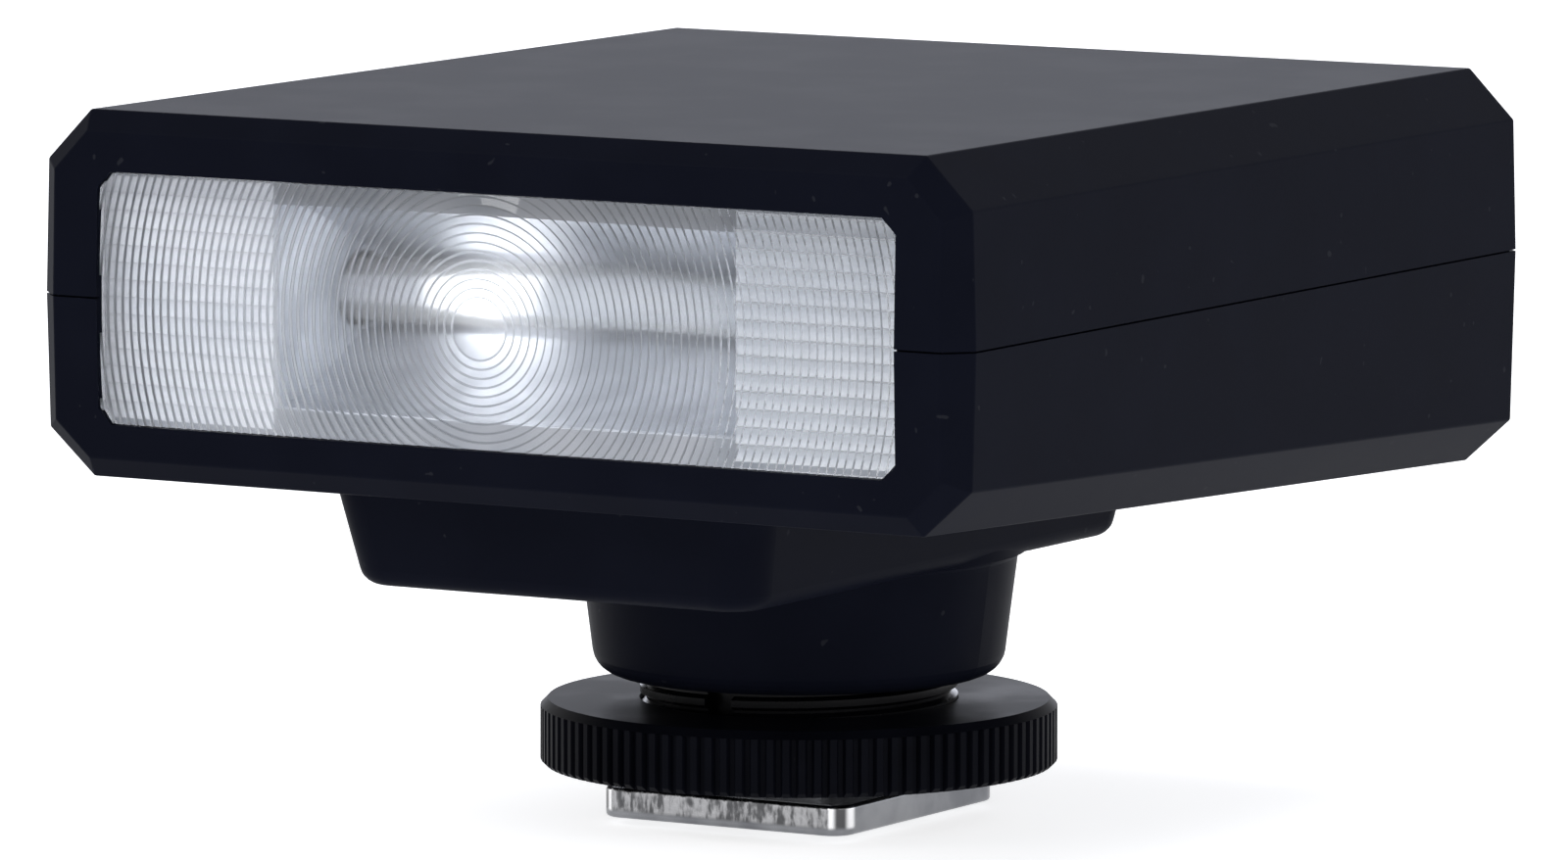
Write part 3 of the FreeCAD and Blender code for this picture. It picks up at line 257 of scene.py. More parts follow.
@dataclass(frozen=True)
class FootEdge:
    """The foot's torn front edge, and painted highlights on its front corners. Heights are from its underside.
    """

    tear_low: float = 0.40 * MM
    tear_high: float = 2.45 * MM
    tear_reach: float = 0.6 * MM
    tear_grain: float = 2300.0
    tear_relief: float = 60.0
    tear_dark: Paint = (0.10, 0.101, 0.105, 1.0)
    tear_light: Paint = (0.40, 0.40, 0.41, 1.0)
    corner_width: float = 1.20 * MM
    corner_depth: float = 1.80 * MM
    # Painted highlights on the front corners: two bright bars, and a dark painted reflection between them.
    painted_highlight_bar: Paint = (0.98, 0.98, 0.99, 1.0)
    painted_dark_reflection_bar: Paint = (0.09, 0.09, 0.093, 1.0)
    stain_grain: float = 300.0


@dataclass(frozen=True)
class CellSleeve:
    """The cells' printed sleeves. The front cell's nub points right and the back one's left."""

    nub: float = 1.2 * MM
    can: float = 49.3 * MM
    band_start: float = 0.62
    band_end: float = 0.63
    bare_start: float = 0.5 * MM
    bare_end: float = 0.3 * MM
    bare_metal: Paint = (0.55, 0.55, 0.56, 1.0)


@dataclass(frozen=True)
class LensPattern:
    """The rings on the lens's front, the ribs on its back beside the reflector, and painted shade on its +X
    end.
    """

    offset: tuple[float, float] = (-0.8 * MM, -0.4 * MM)
    first_radius: float = 2.0 * MM
    pitch: float = 0.58 * MM
    front_reach: float = 0.6 * MM
    front_whole: float = 0.4 * MM
    rib_start: float = 16.5 * MM
    rib_whole: float = 16.9 * MM
    clear_roughness: float = 0.16
    far_rib_roughness: float = 0.38
    near_rib_roughness: float = 0.60
    # Painted shade: towards +X the lens is tinted grey and its ring lines fade to 30%.
    shade_start: float = 15.5 * MM
    shade_whole: float = 17.5 * MM
    shaded_line_share: float = 0.30
    painted_shade: Paint = (0.74, 0.76, 0.79, 1.0)


SURFACE_OUTPUTS = {"Colour": Kind.COLOUR, "Roughness": Kind.VALUE, "Normal": Kind.VECTOR}


def surface_inputs(grain: float, depth: float) -> dict[str, tuple[Kind, Feed]]:
    """The inputs that every surface group has.

    Args:
        grain: default grains per metre.
        depth: default depth of the relief in metres.

    Returns:
        The inputs, by name.
    """
    return {
        "Dark": (Kind.COLOUR, (0.1, 0.1, 0.1, 1.0)),
        "Light": (Kind.COLOUR, (0.2, 0.2, 0.2, 1.0)),
        "Smooth": (Kind.VALUE, 0.3),
        "Rough": (Kind.VALUE, 0.5),
        "Grain": (Kind.VALUE, grain),
        "Depth": (Kind.VALUE, depth),
    }


def moulded_group() -> bpy.types.NodeTree:
    """Moulded plastic: slow mottling of tone and gloss over a fine even grain, and a few specks of dust."""
    mottle_grain = 140.0
    dust_grain = 1500.0
    dust_strength = 0.03
    dust_colour = (0.30, 0.31, 0.33, 1.0)
    graph, given, result = new_group("moulded_surface", surface_inputs(7000.0, 6e-6), SURFACE_OUTPUTS)
    place = graph.place()
    fine = graph.noise(place, given.outputs["Grain"], 2.0)
    mottle = graph.ramp(graph.noise(place, mottle_grain, 3.0), 0.32, 0.68)
    toned = graph.mix(mottle, given.outputs["Dark"], given.outputs["Light"])
    dust = graph.ramp(graph.noise(place, dust_grain, 0.0), 0.835, 0.86, 0.0, dust_strength)
    graph.feed(result.inputs["Colour"], graph.mix(dust, toned, dust_colour))
    half_fine = graph.math("ADD", graph.math("MULTIPLY", fine, 0.5), 0.5)
    worn = graph.math("MULTIPLY", graph.math("ADD", half_fine, mottle), 0.6)
    graph.feed(result.inputs["Roughness"],
               graph.ramp(worn, 0.1, 1.0, given.outputs["Smooth"], given.outputs["Rough"]))
    graph.feed(result.inputs["Normal"], graph.bump(fine, given.outputs["Depth"]))
    return graph.tree


def brushed_group() -> bpy.types.NodeTree:
    """Rolled or brushed metal: thin streaks along X, with a little staining."""
    stretch = (0.06, 1.0, 1.0)
    stain_grain = 320.0
    graph, given, result = new_group("brushed_surface", surface_inputs(2600.0, 3e-6), SURFACE_OUTPUTS)
    place = graph.place()
    along = graph.add("ShaderNodeMapping", {}, {"Vector": place, "Scale": stretch}).outputs[0]
    streak = graph.noise(along, given.outputs["Grain"], 4.0)
    stain = graph.ramp(graph.noise(place, stain_grain, 3.0), 0.3, 0.7)
    graph.feed(result.inputs["Colour"], graph.mix(stain, given.outputs["Dark"], given.outputs["Light"]))
    graph.feed(result.inputs["Roughness"],
               graph.ramp(streak, 0.25, 0.75, given.outputs["Smooth"], given.outputs["Rough"]))
    graph.feed(result.inputs["Normal"], graph.bump(streak, given.outputs["Depth"]))
    return graph.tree


def sheared_group(edge: FootEdge, low: Vector, high: Vector) -> bpy.types.NodeTree:
    """Stamped metal with a torn front edge above a smooth band, and painted highlight bars on the front
    corners.

    Args:
        edge: the tears' and bars' sizes and colours.
        low: the foot's lowest corner.
        high: its highest corner.

    Returns:
        The group.
    """
    bottom = low.z + edge.tear_low
    top = low.z + edge.tear_high
    upright = (1.0, 1.0, 0.35)
    graph, given, result = new_group("sheared_surface", surface_inputs(2400.0, 4e-6), SURFACE_OUTPUTS)
    place = graph.place()
    axes = graph.add("ShaderNodeSeparateXYZ", {}, {0: place})
    out = graph.math("ABSOLUTE", axes.outputs["X"])
    satin = graph.noise(place, given.outputs["Grain"], 3.0)
    stain = graph.ramp(graph.noise(place, edge.stain_grain, 3.0), 0.3, 0.7)
    plain = graph.mix(stain, given.outputs["Dark"], given.outputs["Light"])

    front = graph.ramp(axes.outputs["Y"], low.y + edge.tear_reach, low.y + 0.1 * MM)
    band = graph.math("MULTIPLY", graph.ramp(axes.outputs["Z"], bottom, bottom + 0.25 * MM),
                      graph.ramp(axes.outputs["Z"], top, top - 0.15 * MM))
    torn = graph.math("MULTIPLY", front, band)
    stretched = graph.add("ShaderNodeMapping", {}, {"Vector": place, "Scale": upright}).outputs[0]
    tears = graph.noise(stretched, edge.tear_grain, 6.0)
    streaks = graph.mix(graph.ramp(tears, 0.36, 0.60), edge.tear_dark, edge.tear_light)

    # Painted highlights on each front corner above the plain band: bright bars with a dark painted reflection
    # between them. The tears' relief stays off them.
    dark_reflection_mask = graph.math("MULTIPLY", graph.ramp(out, high.x - 0.92 * MM, high.x - 0.58 * MM),
                            graph.ramp(out, high.x - 0.05 * MM, high.x - 0.28 * MM))
    bars = graph.mix(dark_reflection_mask, edge.painted_highlight_bar, edge.painted_dark_reflection_bar)
    above = graph.ramp(axes.outputs["Z"], bottom - 0.05 * MM, bottom + 0.25 * MM)
    turned = graph.math("MULTIPLY",
                        graph.ramp(out, high.x - edge.corner_width, high.x - edge.corner_width + 0.20 * MM),
                        graph.ramp(axes.outputs["Y"], low.y + edge.corner_depth,
                                   low.y + edge.corner_depth - 0.50 * MM))
    corner = graph.math("MULTIPLY", turned, above)

    rugged = graph.math("MULTIPLY", torn, graph.math("SUBTRACT", 1.0, corner))
    ridges = graph.math("MULTIPLY", graph.math("MULTIPLY", tears, rugged), edge.tear_relief)
    # Colour: stained metal, torn streaks on the front edge, and the painted corner highlights over both.
    graph.feed(result.inputs["Colour"], graph.mix(corner, graph.mix(torn, plain, streaks), bars))
    graph.feed(result.inputs["Roughness"],
               graph.ramp(satin, 0.25, 0.75, given.outputs["Smooth"], given.outputs["Rough"]))
    graph.feed(result.inputs["Normal"], graph.bump(graph.math("ADD", ridges, satin), given.outputs["Depth"]))
    return graph.tree


def sleeve_group(sleeve: CellSleeve, low: Vector, high: Vector) -> bpy.types.NodeTree:
    """A battery's printed sleeve with plain bands and bare ends.

    Args:
        sleeve: the cells' sizes and the sleeve's bands.
        low: the lowest corner of both cells.
        high: their highest corner.

    Returns:
        The group.
    """
    middle = (low + high) / 2
    half_can = sleeve.can / 2
    stand_off = (high.x - low.x) / 2 - sleeve.nub - half_can
    gap = 0.1 * MM
    graph, given, result = new_group("sleeve_surface", surface_inputs(3000.0, 2e-6), SURFACE_OUTPUTS)
    place = graph.place()
    axes = graph.add("ShaderNodeSeparateXYZ", {}, {0: place})
    can_middle = graph.ramp(axes.outputs["Y"], middle.y - gap, middle.y + gap, middle.x + stand_off,
                            middle.x - stand_off)
    reach = graph.math("ABSOLUTE", graph.math("SUBTRACT", axes.outputs["X"], can_middle))
    band = graph.ramp(reach, half_can * sleeve.band_start, half_can * sleeve.band_end)
    bare = graph.ramp(reach, half_can - sleeve.bare_start, half_can - sleeve.bare_end)
    fine = graph.noise(place, given.outputs["Grain"], 2.0)
    printed = graph.mix(band, given.outputs["Dark"], given.outputs["Light"])
    graph.feed(result.inputs["Colour"], graph.mix(bare, printed, sleeve.bare_metal))
    graph.feed(result.inputs["Roughness"],
               graph.ramp(fine, 0.3, 0.7, given.outputs["Smooth"], given.outputs["Rough"]))
    graph.feed(result.inputs["Normal"], graph.bump(fine, given.outputs["Depth"]))
    return graph.tree


def wound_group() -> bpy.types.NodeTree:
    """Turns of enamelled wire, one above the other along Z."""
    unevenness = 0.6
    graph, given, result = new_group("wound_surface", surface_inputs(4200.0, 5e-5), SURFACE_OUTPUTS)
    wave = graph.add("ShaderNodeTexWave", {"bands_direction": "Z"},
                     {"Vector": graph.place(), "Scale": given.outputs["Grain"], "Distortion": unevenness,
                      "Detail": 1.0})
    turn = wave.outputs["Fac"]
    graph.feed(result.inputs["Colour"], graph.mix(turn, given.outputs["Dark"], given.outputs["Light"]))
    graph.feed(result.inputs["Roughness"],
               graph.ramp(turn, 0.2, 0.9, given.outputs["Rough"], given.outputs["Smooth"]))
    graph.feed(result.inputs["Normal"], graph.bump(turn, given.outputs["Depth"]))
    return graph.tree


def board_group() -> bpy.types.NodeTree:
    """A circuit board: solder resist over blocks of copper."""
    weave_grain = 5200.0
    graph, given, result = new_group("board_surface", surface_inputs(420.0, 2.5e-5), SURFACE_OUTPUTS)
    place = graph.place()
    cells = graph.add("ShaderNodeTexVoronoi", {"distance": "CHEBYCHEV", "feature": "F1"},
                      {"Vector": place, "Scale": given.outputs["Grain"]})
    track = graph.ramp(cells.outputs["Distance"], 0.36, 0.40)
    weave = graph.noise(place, weave_grain, 2.0)
    graph.feed(result.inputs["Colour"], graph.mix(track, given.outputs["Light"], given.outputs["Dark"]))
    graph.feed(result.inputs["Roughness"],
               graph.ramp(weave, 0.3, 0.7, given.outputs["Smooth"], given.outputs["Rough"]))
    graph.feed(result.inputs["Normal"], graph.bump(track, given.outputs["Depth"]))
    return graph.tree


def lens_group(pattern: LensPattern, low: Vector, high: Vector) -> bpy.types.NodeTree:
    """Clear moulded plastic whose ring edges and ribbed back scatter light, with painted shade greying its +X
    end.

    Args:
        pattern: the rings' and ribs' sizes and finish.
        low: the lens's lowest corner.
        high: its highest corner.

    Returns:
        The group.
    """
    middle = (low + high) / 2
    graph, given, result = new_group("ringed_surface", surface_inputs(1800.0, 4e-7), SURFACE_OUTPUTS)
    place = graph.place()
    axes = graph.add("ShaderNodeSeparateXYZ", {}, {0: place})
    across = graph.math("SUBTRACT", axes.outputs["X"], middle.x + pattern.offset[0])
    up = graph.math("SUBTRACT", axes.outputs["Z"], middle.z + pattern.offset[1])
    square = graph.math("ADD", graph.math("MULTIPLY", across, across), graph.math("MULTIPLY", up, up))
    beyond = graph.math("SUBTRACT", graph.math("SQRT", square), pattern.first_radius)
    turn = graph.math("DIVIDE", beyond, pattern.pitch)
    part_turn = graph.math("FRACT", graph.math("ADD", turn, 0.5))
    edge = graph.math("ABSOLUTE", graph.math("SUBTRACT", part_turn, 0.5))
    drawn = graph.math("MULTIPLY", graph.ramp(edge, 0.17, 0.08), graph.ramp(turn, -0.4, -0.3))

    # Painted shade: the +X end is tinted grey and its ring lines fade.
    painted_shade_mask = graph.ramp(axes.outputs["X"], pattern.shade_start, pattern.shade_whole)
    line = graph.math("MULTIPLY", drawn, graph.ramp(painted_shade_mask, 0.0, 1.0, 1.0, pattern.shaded_line_share))
    front = graph.ramp(axes.outputs["Y"], low.y + pattern.front_reach, low.y + pattern.front_whole)
    mask = graph.math("MULTIPLY", line, front)
    far_ribs = graph.ramp(axes.outputs["X"], -pattern.rib_start, -pattern.rib_whole, pattern.clear_roughness,
                          pattern.far_rib_roughness)
    ribs = graph.ramp(axes.outputs["X"], pattern.rib_start, pattern.rib_whole, far_ribs,
                      pattern.near_rib_roughness)
    plain = graph.ramp(front, 1.0, 0.0, given.outputs["Smooth"], ribs)
    fine = graph.noise(place, given.outputs["Grain"], 2.0)
    body = graph.mix(painted_shade_mask, given.outputs["Light"], pattern.painted_shade)
    graph.feed(result.inputs["Colour"], graph.mix(mask, body, given.outputs["Dark"]))
    graph.feed(result.inputs["Roughness"], graph.ramp(mask, 0.0, 1.0, plain, given.outputs["Rough"]))
    graph.feed(result.inputs["Normal"], graph.bump(fine, given.outputs["Depth"]))
    return graph.tree


def glow_group(middle: float, half_length: float) -> bpy.types.NodeTree:
    """Painted glow for the core in the tube: how brightly it shines, most near a given point along X.

    Args:
        middle: where it is brightest, along X.
        half_length: how far from there the glow has faded.

    Returns:
        The group.
    """
    faded = (0.022, 0.024, 0.028, 1.0)
    bright = (1.0, 1.0, 1.0, 1.0)
    variation_grain = 900.0
    graph, _, result = new_group("painted_tube_glow", {}, {"Colour": Kind.COLOUR})
    place = graph.place()
    across = graph.add("ShaderNodeSeparateXYZ", {}, {0: place}).outputs["X"]
    reach = graph.math("ABSOLUTE", graph.math("SUBTRACT", across, middle))
    glow_variation = graph.ramp(graph.noise(place, variation_grain, 2.0), 0.2, 0.8, 0.7, 1.2)
    glow = graph.math("MULTIPLY", graph.ramp(reach, half_length, 0.0), glow_variation)
    graph.feed(result.inputs["Colour"], graph.mix(glow, faded, bright))
    return graph.tree


# Finishes


class Surface(Enum):
    """The surface patterns that a finish can have."""

    MOULDED = "moulded"
    BRUSHED = "brushed"
    SHEARED = "sheared"
    SLEEVE = "sleeve"
    WOUND = "wound"
    BOARD = "board"
    LENS = "lens"


@dataclass(frozen=True)
class Finish:
    """One material: its pattern's ends and the shader's plain values."""

    name: str
    surface: Surface
    dark: Colour
    light: Colour
    smooth: float
    rough: float
    grain: float = 6000.0
    depth: float = 5e-6
    metallic: float = 0.0
    ior: float = 1.5
    transmission: float = 0.0
    specular: float = 0.5
    # glow: emission of the finish's own colour, used as painted light on the frame
    glow: float = 0.0
    lets_light_through: bool = False


CASE = Finish("case_plastic", Surface.MOULDED, dark=(0.0038, 0.0045, 0.0086), light=(0.0044, 0.0052, 0.0098),
              smooth=0.42, rough=0.44, grain=7500.0, specular=0.0095)
DOOR = Finish("door_plastic", Surface.MOULDED, dark=(0.0038, 0.0045, 0.0086), light=(0.0044, 0.0052, 0.0098),
              smooth=0.43, rough=0.45, grain=7500.0, specular=0.0095)
RING = Finish("ring_plastic", Surface.MOULDED, dark=(0.0018, 0.0020, 0.0036), light=(0.0030, 0.0034, 0.0058),
              smooth=0.34, rough=0.44, grain=6500.0, specular=0.022)
NECK = Finish("neck_plastic", Surface.MOULDED, dark=(0.0018, 0.0018, 0.0024), light=(0.0030, 0.0030, 0.0038),
              smooth=0.16, rough=0.28, grain=5000.0, depth=2e-6, specular=0.09)
FOOT = Finish("foot_metal", Surface.SHEARED, dark=(0.17, 0.175, 0.19), light=(0.27, 0.275, 0.29),
              smooth=0.14, rough=0.26, grain=2400.0, depth=3e-6, metallic=1.0)
LENS = Finish("lens_plastic", Surface.LENS, dark=(0.46, 0.48, 0.52), light=(0.97, 0.98, 1.0),
              smooth=0.01, rough=0.55, grain=1800.0, depth=4e-7, ior=1.49, transmission=1.0,
              lets_light_through=True)
# The frame glows at 0.12 of its own colour: painted light that lifts the shade the case casts on it behind the
# lens.
FRAME = Finish("frame_plastic", Surface.MOULDED, dark=(0.61, 0.63, 0.67), light=(0.71, 0.72, 0.75),
               smooth=0.30, rough=0.42, grain=5000.0, glow=0.12)
MIRROR = Finish("reflector_metal", Surface.BRUSHED, dark=(0.56, 0.58, 0.62), light=(0.78, 0.80, 0.84),
                smooth=0.38, rough=0.50, grain=2600.0, depth=2e-6, metallic=1.0)
TUBE = Finish("tube_glass", Surface.MOULDED, dark=(0.95, 0.97, 0.98), light=(1.0, 1.0, 1.0),
              smooth=0.0, rough=0.03, grain=1500.0, depth=2e-7, ior=1.46, transmission=0.80,
              lets_light_through=True)
SILICONE = Finish("silicone", Surface.MOULDED, dark=(0.60, 0.60, 0.57), light=(0.72, 0.72, 0.70),
                  smooth=0.35, rough=0.5)
STEEL = Finish("steel", Surface.BRUSHED, dark=(0.42, 0.42, 0.43), light=(0.58, 0.58, 0.59),
               smooth=0.22, rough=0.36, grain=2600.0, depth=2e-6, metallic=1.0)
BLACK_STEEL = Finish("screw_steel", Surface.BRUSHED, dark=(0.05, 0.05, 0.055), light=(0.09, 0.09, 0.095),
                     smooth=0.30, rough=0.44, grain=2600.0, depth=2e-6, metallic=1.0)
BRASS = Finish("brass", Surface.BRUSHED, dark=(0.62, 0.46, 0.20), light=(0.80, 0.62, 0.30),
               smooth=0.16, rough=0.30, grain=2600.0, depth=2e-6, metallic=1.0)
BOX = Finish("box_plastic", Surface.MOULDED, dark=(0.018, 0.018, 0.02), light=(0.026, 0.026, 0.028),
             smooth=0.4, rough=0.55)
CELL = Finish("cell_can", Surface.SLEEVE, dark=(0.015, 0.02, 0.035), light=(0.55, 0.30, 0.12),
              smooth=0.22, rough=0.32)
PANEL = Finish("panel_plastic", Surface.MOULDED, dark=(0.008, 0.0085, 0.011), light=(0.012, 0.0125, 0.016),
               smooth=0.20, rough=0.30, grain=5000.0, depth=2e-6, specular=0.06)
BUTTON = Finish("button_plastic", Surface.MOULDED, dark=(0.028, 0.029, 0.033), light=(0.040, 0.041, 0.046),
                smooth=0.42, rough=0.55, specular=0.15)
SLIDER = Finish("slider_plastic", Surface.MOULDED, dark=(0.075, 0.077, 0.084), light=(0.10, 0.102, 0.11),
                smooth=0.38, rough=0.52)
PIPE = Finish("light_plastic", Surface.MOULDED, dark=(0.48, 0.52, 0.46), light=(0.60, 0.64, 0.57),
              smooth=0.2, rough=0.32)
LAMP = Finish("lamp_plastic", Surface.MOULDED, dark=(0.52, 0.07, 0.01), light=(0.68, 0.12, 0.02),
              smooth=0.12, rough=0.22)
BOARD = Finish("board", Surface.BOARD, dark=(0.006, 0.05, 0.022), light=(0.012, 0.10, 0.045),
               smooth=0.22, rough=0.34, grain=420.0, depth=2.5e-5)
CAN = Finish("capacitor_can", Surface.MOULDED, dark=(0.010, 0.010, 0.014), light=(0.018, 0.018, 0.024),
             smooth=0.18, rough=0.30)
SEAL = Finish("seal_rubber", Surface.MOULDED, dark=(0.010, 0.010, 0.010), light=(0.018, 0.018, 0.018),
              smooth=0.5, rough=0.65)
FERRITE = Finish("ferrite", Surface.MOULDED, dark=(0.022, 0.022, 0.023), light=(0.040, 0.040, 0.041),
                 smooth=0.55, rough=0.75, grain=4200.0, depth=2e-5)
WINDING = Finish("winding", Surface.WOUND, dark=(0.10, 0.025, 0.008), light=(0.45, 0.16, 0.05),
                 smooth=0.18, rough=0.35, grain=1400.0, depth=6e-5)
TAPE = Finish("coil_tape", Surface.WOUND, dark=(0.45, 0.30, 0.03), light=(0.60, 0.42, 0.06),
              smooth=0.25, rough=0.40, grain=600.0, depth=3e-5)
CHIP = Finish("chip", Surface.MOULDED, dark=(0.012, 0.012, 0.013), light=(0.020, 0.020, 0.022),
              smooth=0.45, rough=0.6)
LED = Finish("led", Surface.MOULDED, dark=(0.62, 0.62, 0.55), light=(0.75, 0.75, 0.68),
             smooth=0.25, rough=0.35)
PRINT = Finish("panel_print", Surface.MOULDED, dark=(0.48, 0.49, 0.50), light=(0.58, 0.59, 0.60),
               smooth=0.45, rough=0.6)


@dataclass
class Palette:
    """Makes each finish's material once."""

    groups: dict[Surface, bpy.types.NodeTree]
    made: dict[str, bpy.types.Material] = field(default_factory=dict)

    def material(self, finish: Finish) -> bpy.types.Material:
        """The material of a finish.

        Args:
            finish: which one.

        Returns:
            The material, made on first use.
        """
        if finish.name in self.made:
            return self.made[finish.name]
        material = bpy.data.materials.new(finish.name)
        material.use_nodes = True
        tree = material.node_tree
        tree.nodes.clear()
        graph = Graph(tree)
        values = {"Dark": (*finish.dark, 1.0), "Light": (*finish.light, 1.0), "Smooth": finish.smooth,
                  "Rough": finish.rough, "Grain": finish.grain, "Depth": finish.depth}
        group = graph.add("ShaderNodeGroup", {"node_tree": self.groups[finish.surface]}, values)
        shader = graph.add("ShaderNodeBsdfPrincipled", {},
                           {"Base Color": group.outputs["Colour"], "Roughness": group.outputs["Roughness"],
                            "Normal": group.outputs["Normal"], "Metallic": finish.metallic, "IOR": finish.ior,
                            "Transmission Weight": finish.transmission,
                            "Specular IOR Level": finish.specular, "Emission Strength": finish.glow})
        # A glowing finish emits its own colour: painted light, since no such part is a lamp.
        if finish.glow > 0.0:
            graph.feed(shader.inputs["Emission Color"], group.outputs["Colour"])
        surface = shader.outputs[0]
        if finish.lets_light_through:
            surface = let_light_through(graph, surface)
        graph.add("ShaderNodeOutputMaterial", {}, {"Surface": surface})
        self.made[finish.name] = material
        return material


def let_light_through(graph: Graph, surface: bpy.types.NodeSocket) -> bpy.types.NodeSocket:
    """Lets the lamps shine straight through a clear piece.

    Args:
        graph: the material's nodes.
        surface: the piece's own shader.

    Returns:
        The shader that casts no hard shadow.
    """
    slight_tint = (0.93, 0.94, 0.95, 1.0)
    path = graph.add("ShaderNodeLightPath")
    clear = graph.add("ShaderNodeBsdfTransparent", {}, {"Color": slight_tint})
    mixed = graph.add("ShaderNodeMixShader", {},
                      {0: path.outputs["Is Shadow Ray"], 1: surface, 2: clear.outputs[0]})
    return mixed.outputs[0]


def make_palette() -> Palette:
    """The surface groups, fitted to the pieces that they are masked to."""
    return Palette({
        Surface.MOULDED: moulded_group(),
        Surface.BRUSHED: brushed_group(),
        Surface.SHEARED: sheared_group(FootEdge(), *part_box("shoe_foot")),
        Surface.SLEEVE: sleeve_group(CellSleeve(), *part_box("battery_cells")),
        Surface.WOUND: wound_group(),
        Surface.BOARD: board_group(),
        Surface.LENS: lens_group(LensPattern(), *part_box("fresnel_lens")),
    })


# Meshes


def new_piece(name: str, mesh: bmesh.types.BMesh, material: bpy.types.Material, body: str) -> bpy.types.Object:
    """Turns a bmesh into a finished piece that rides on a body.

    Args:
        name: the piece's name.
        mesh: its shape, in the model's frame. It is freed.
        material: its finish.
        body: the body that it moves with.

    Returns:
        The new object.
    """
    bmesh.ops.recalc_face_normals(mesh, faces=mesh.faces)
    data = bpy.data.meshes.new(name)
    mesh.to_mesh(data)
    mesh.free()
    data.materials.append(material)
    piece = bpy.data.objects.new(name, data)
    bpy.context.scene.collection.objects.link(piece)
    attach(piece, body)
    LOG.info("%s: %d faces, rides on %s", name, len(data.polygons), body)
    return piece


def lathe(profile: list[tuple[float, float]], centre: Vector, steps: int) -> bmesh.types.BMesh:
    """A closed ring about a line along X.

    Args:
        profile: (distance along X, radius) points of the closed section.
        centre: a point on the line, from which the distances are counted.
        steps: how many steps go round.

    Returns:
        The mesh.
    """
    mesh = bmesh.new()
    points = [mesh.verts.new(centre + Vector((x, 0.0, r))) for x, r in profile]
    edges = [mesh.edges.new((a, b)) for a, b in zip(points, points[1:] + points[:1])]
    bmesh.ops.spin(mesh, geom=points + edges, cent=centre, axis=(1, 0, 0), angle=2 * math.pi, steps=steps,
                   use_merge=True)
    for face in mesh.faces:
        face.smooth = True
    return mesh


def flat_outline(corners: list[tuple[float, float]]) -> bmesh.types.BMesh:
    """A flat face in the XZ plane.

    Args:
        corners: its corners as (x, z) points.

    Returns:
        The mesh.
    """
    mesh = bmesh.new()
    mesh.faces.new([mesh.verts.new((x, 0.0, z)) for x, z in corners])
    return mesh


def raise_mark(mesh: bmesh.types.BMesh, height: float, edge: float) -> None:
    """Pulls a flat face out towards +Y to a mark with softened edges. Half of the height is sunk.

    Args:
        mesh: holds only the face, which lies on the marked face. It is changed.
        height: how far the mark stands proud.
        edge: the width of its bevel.
    """
    sink = height * 0.5
    bmesh.ops.translate(mesh, verts=mesh.verts, vec=(0, -sink, 0))
    pulled = bmesh.ops.extrude_face_region(mesh, geom=mesh.faces[:])
    top = [v for v in pulled["geom"] if isinstance(v, bmesh.types.BMVert)]
    bmesh.ops.translate(mesh, verts=top, vec=(0, height + sink, 0))
    rim = [e for e in mesh.edges if all(v in top for v in e.verts)]
    bmesh.ops.bevel(mesh, geom=rim, offset=edge, affect="EDGES", segments=2, profile=0.5, material=-1)


# Sub-assemblies


@dataclass
class SubAssembly:
    """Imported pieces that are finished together."""

    finishes: dict[str, Finish]

    def dress(self, frame: dict, palette: Palette) -> None:
        """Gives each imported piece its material.

        Args:
            frame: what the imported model's loader returned.
            palette: the materials.
        """
        for node, finish in self.finishes.items():
            piece = frame["nodes"][node]
            piece.data.materials.clear()
            piece.data.materials.append(palette.material(finish))
            LOG.info("%s: %s", node, finish.name)


@dataclass
class CaseShells(SubAssembly):
    """The two halves of the case and the battery door."""

    finishes: dict[str, Finish] = field(default_factory=lambda: {
        "upper_shell": CASE, "lower_shell": CASE, "battery_door": DOOR, "door_contact": STEEL,
        "door_spring": STEEL, "door_hinge_pin": STEEL,
    })


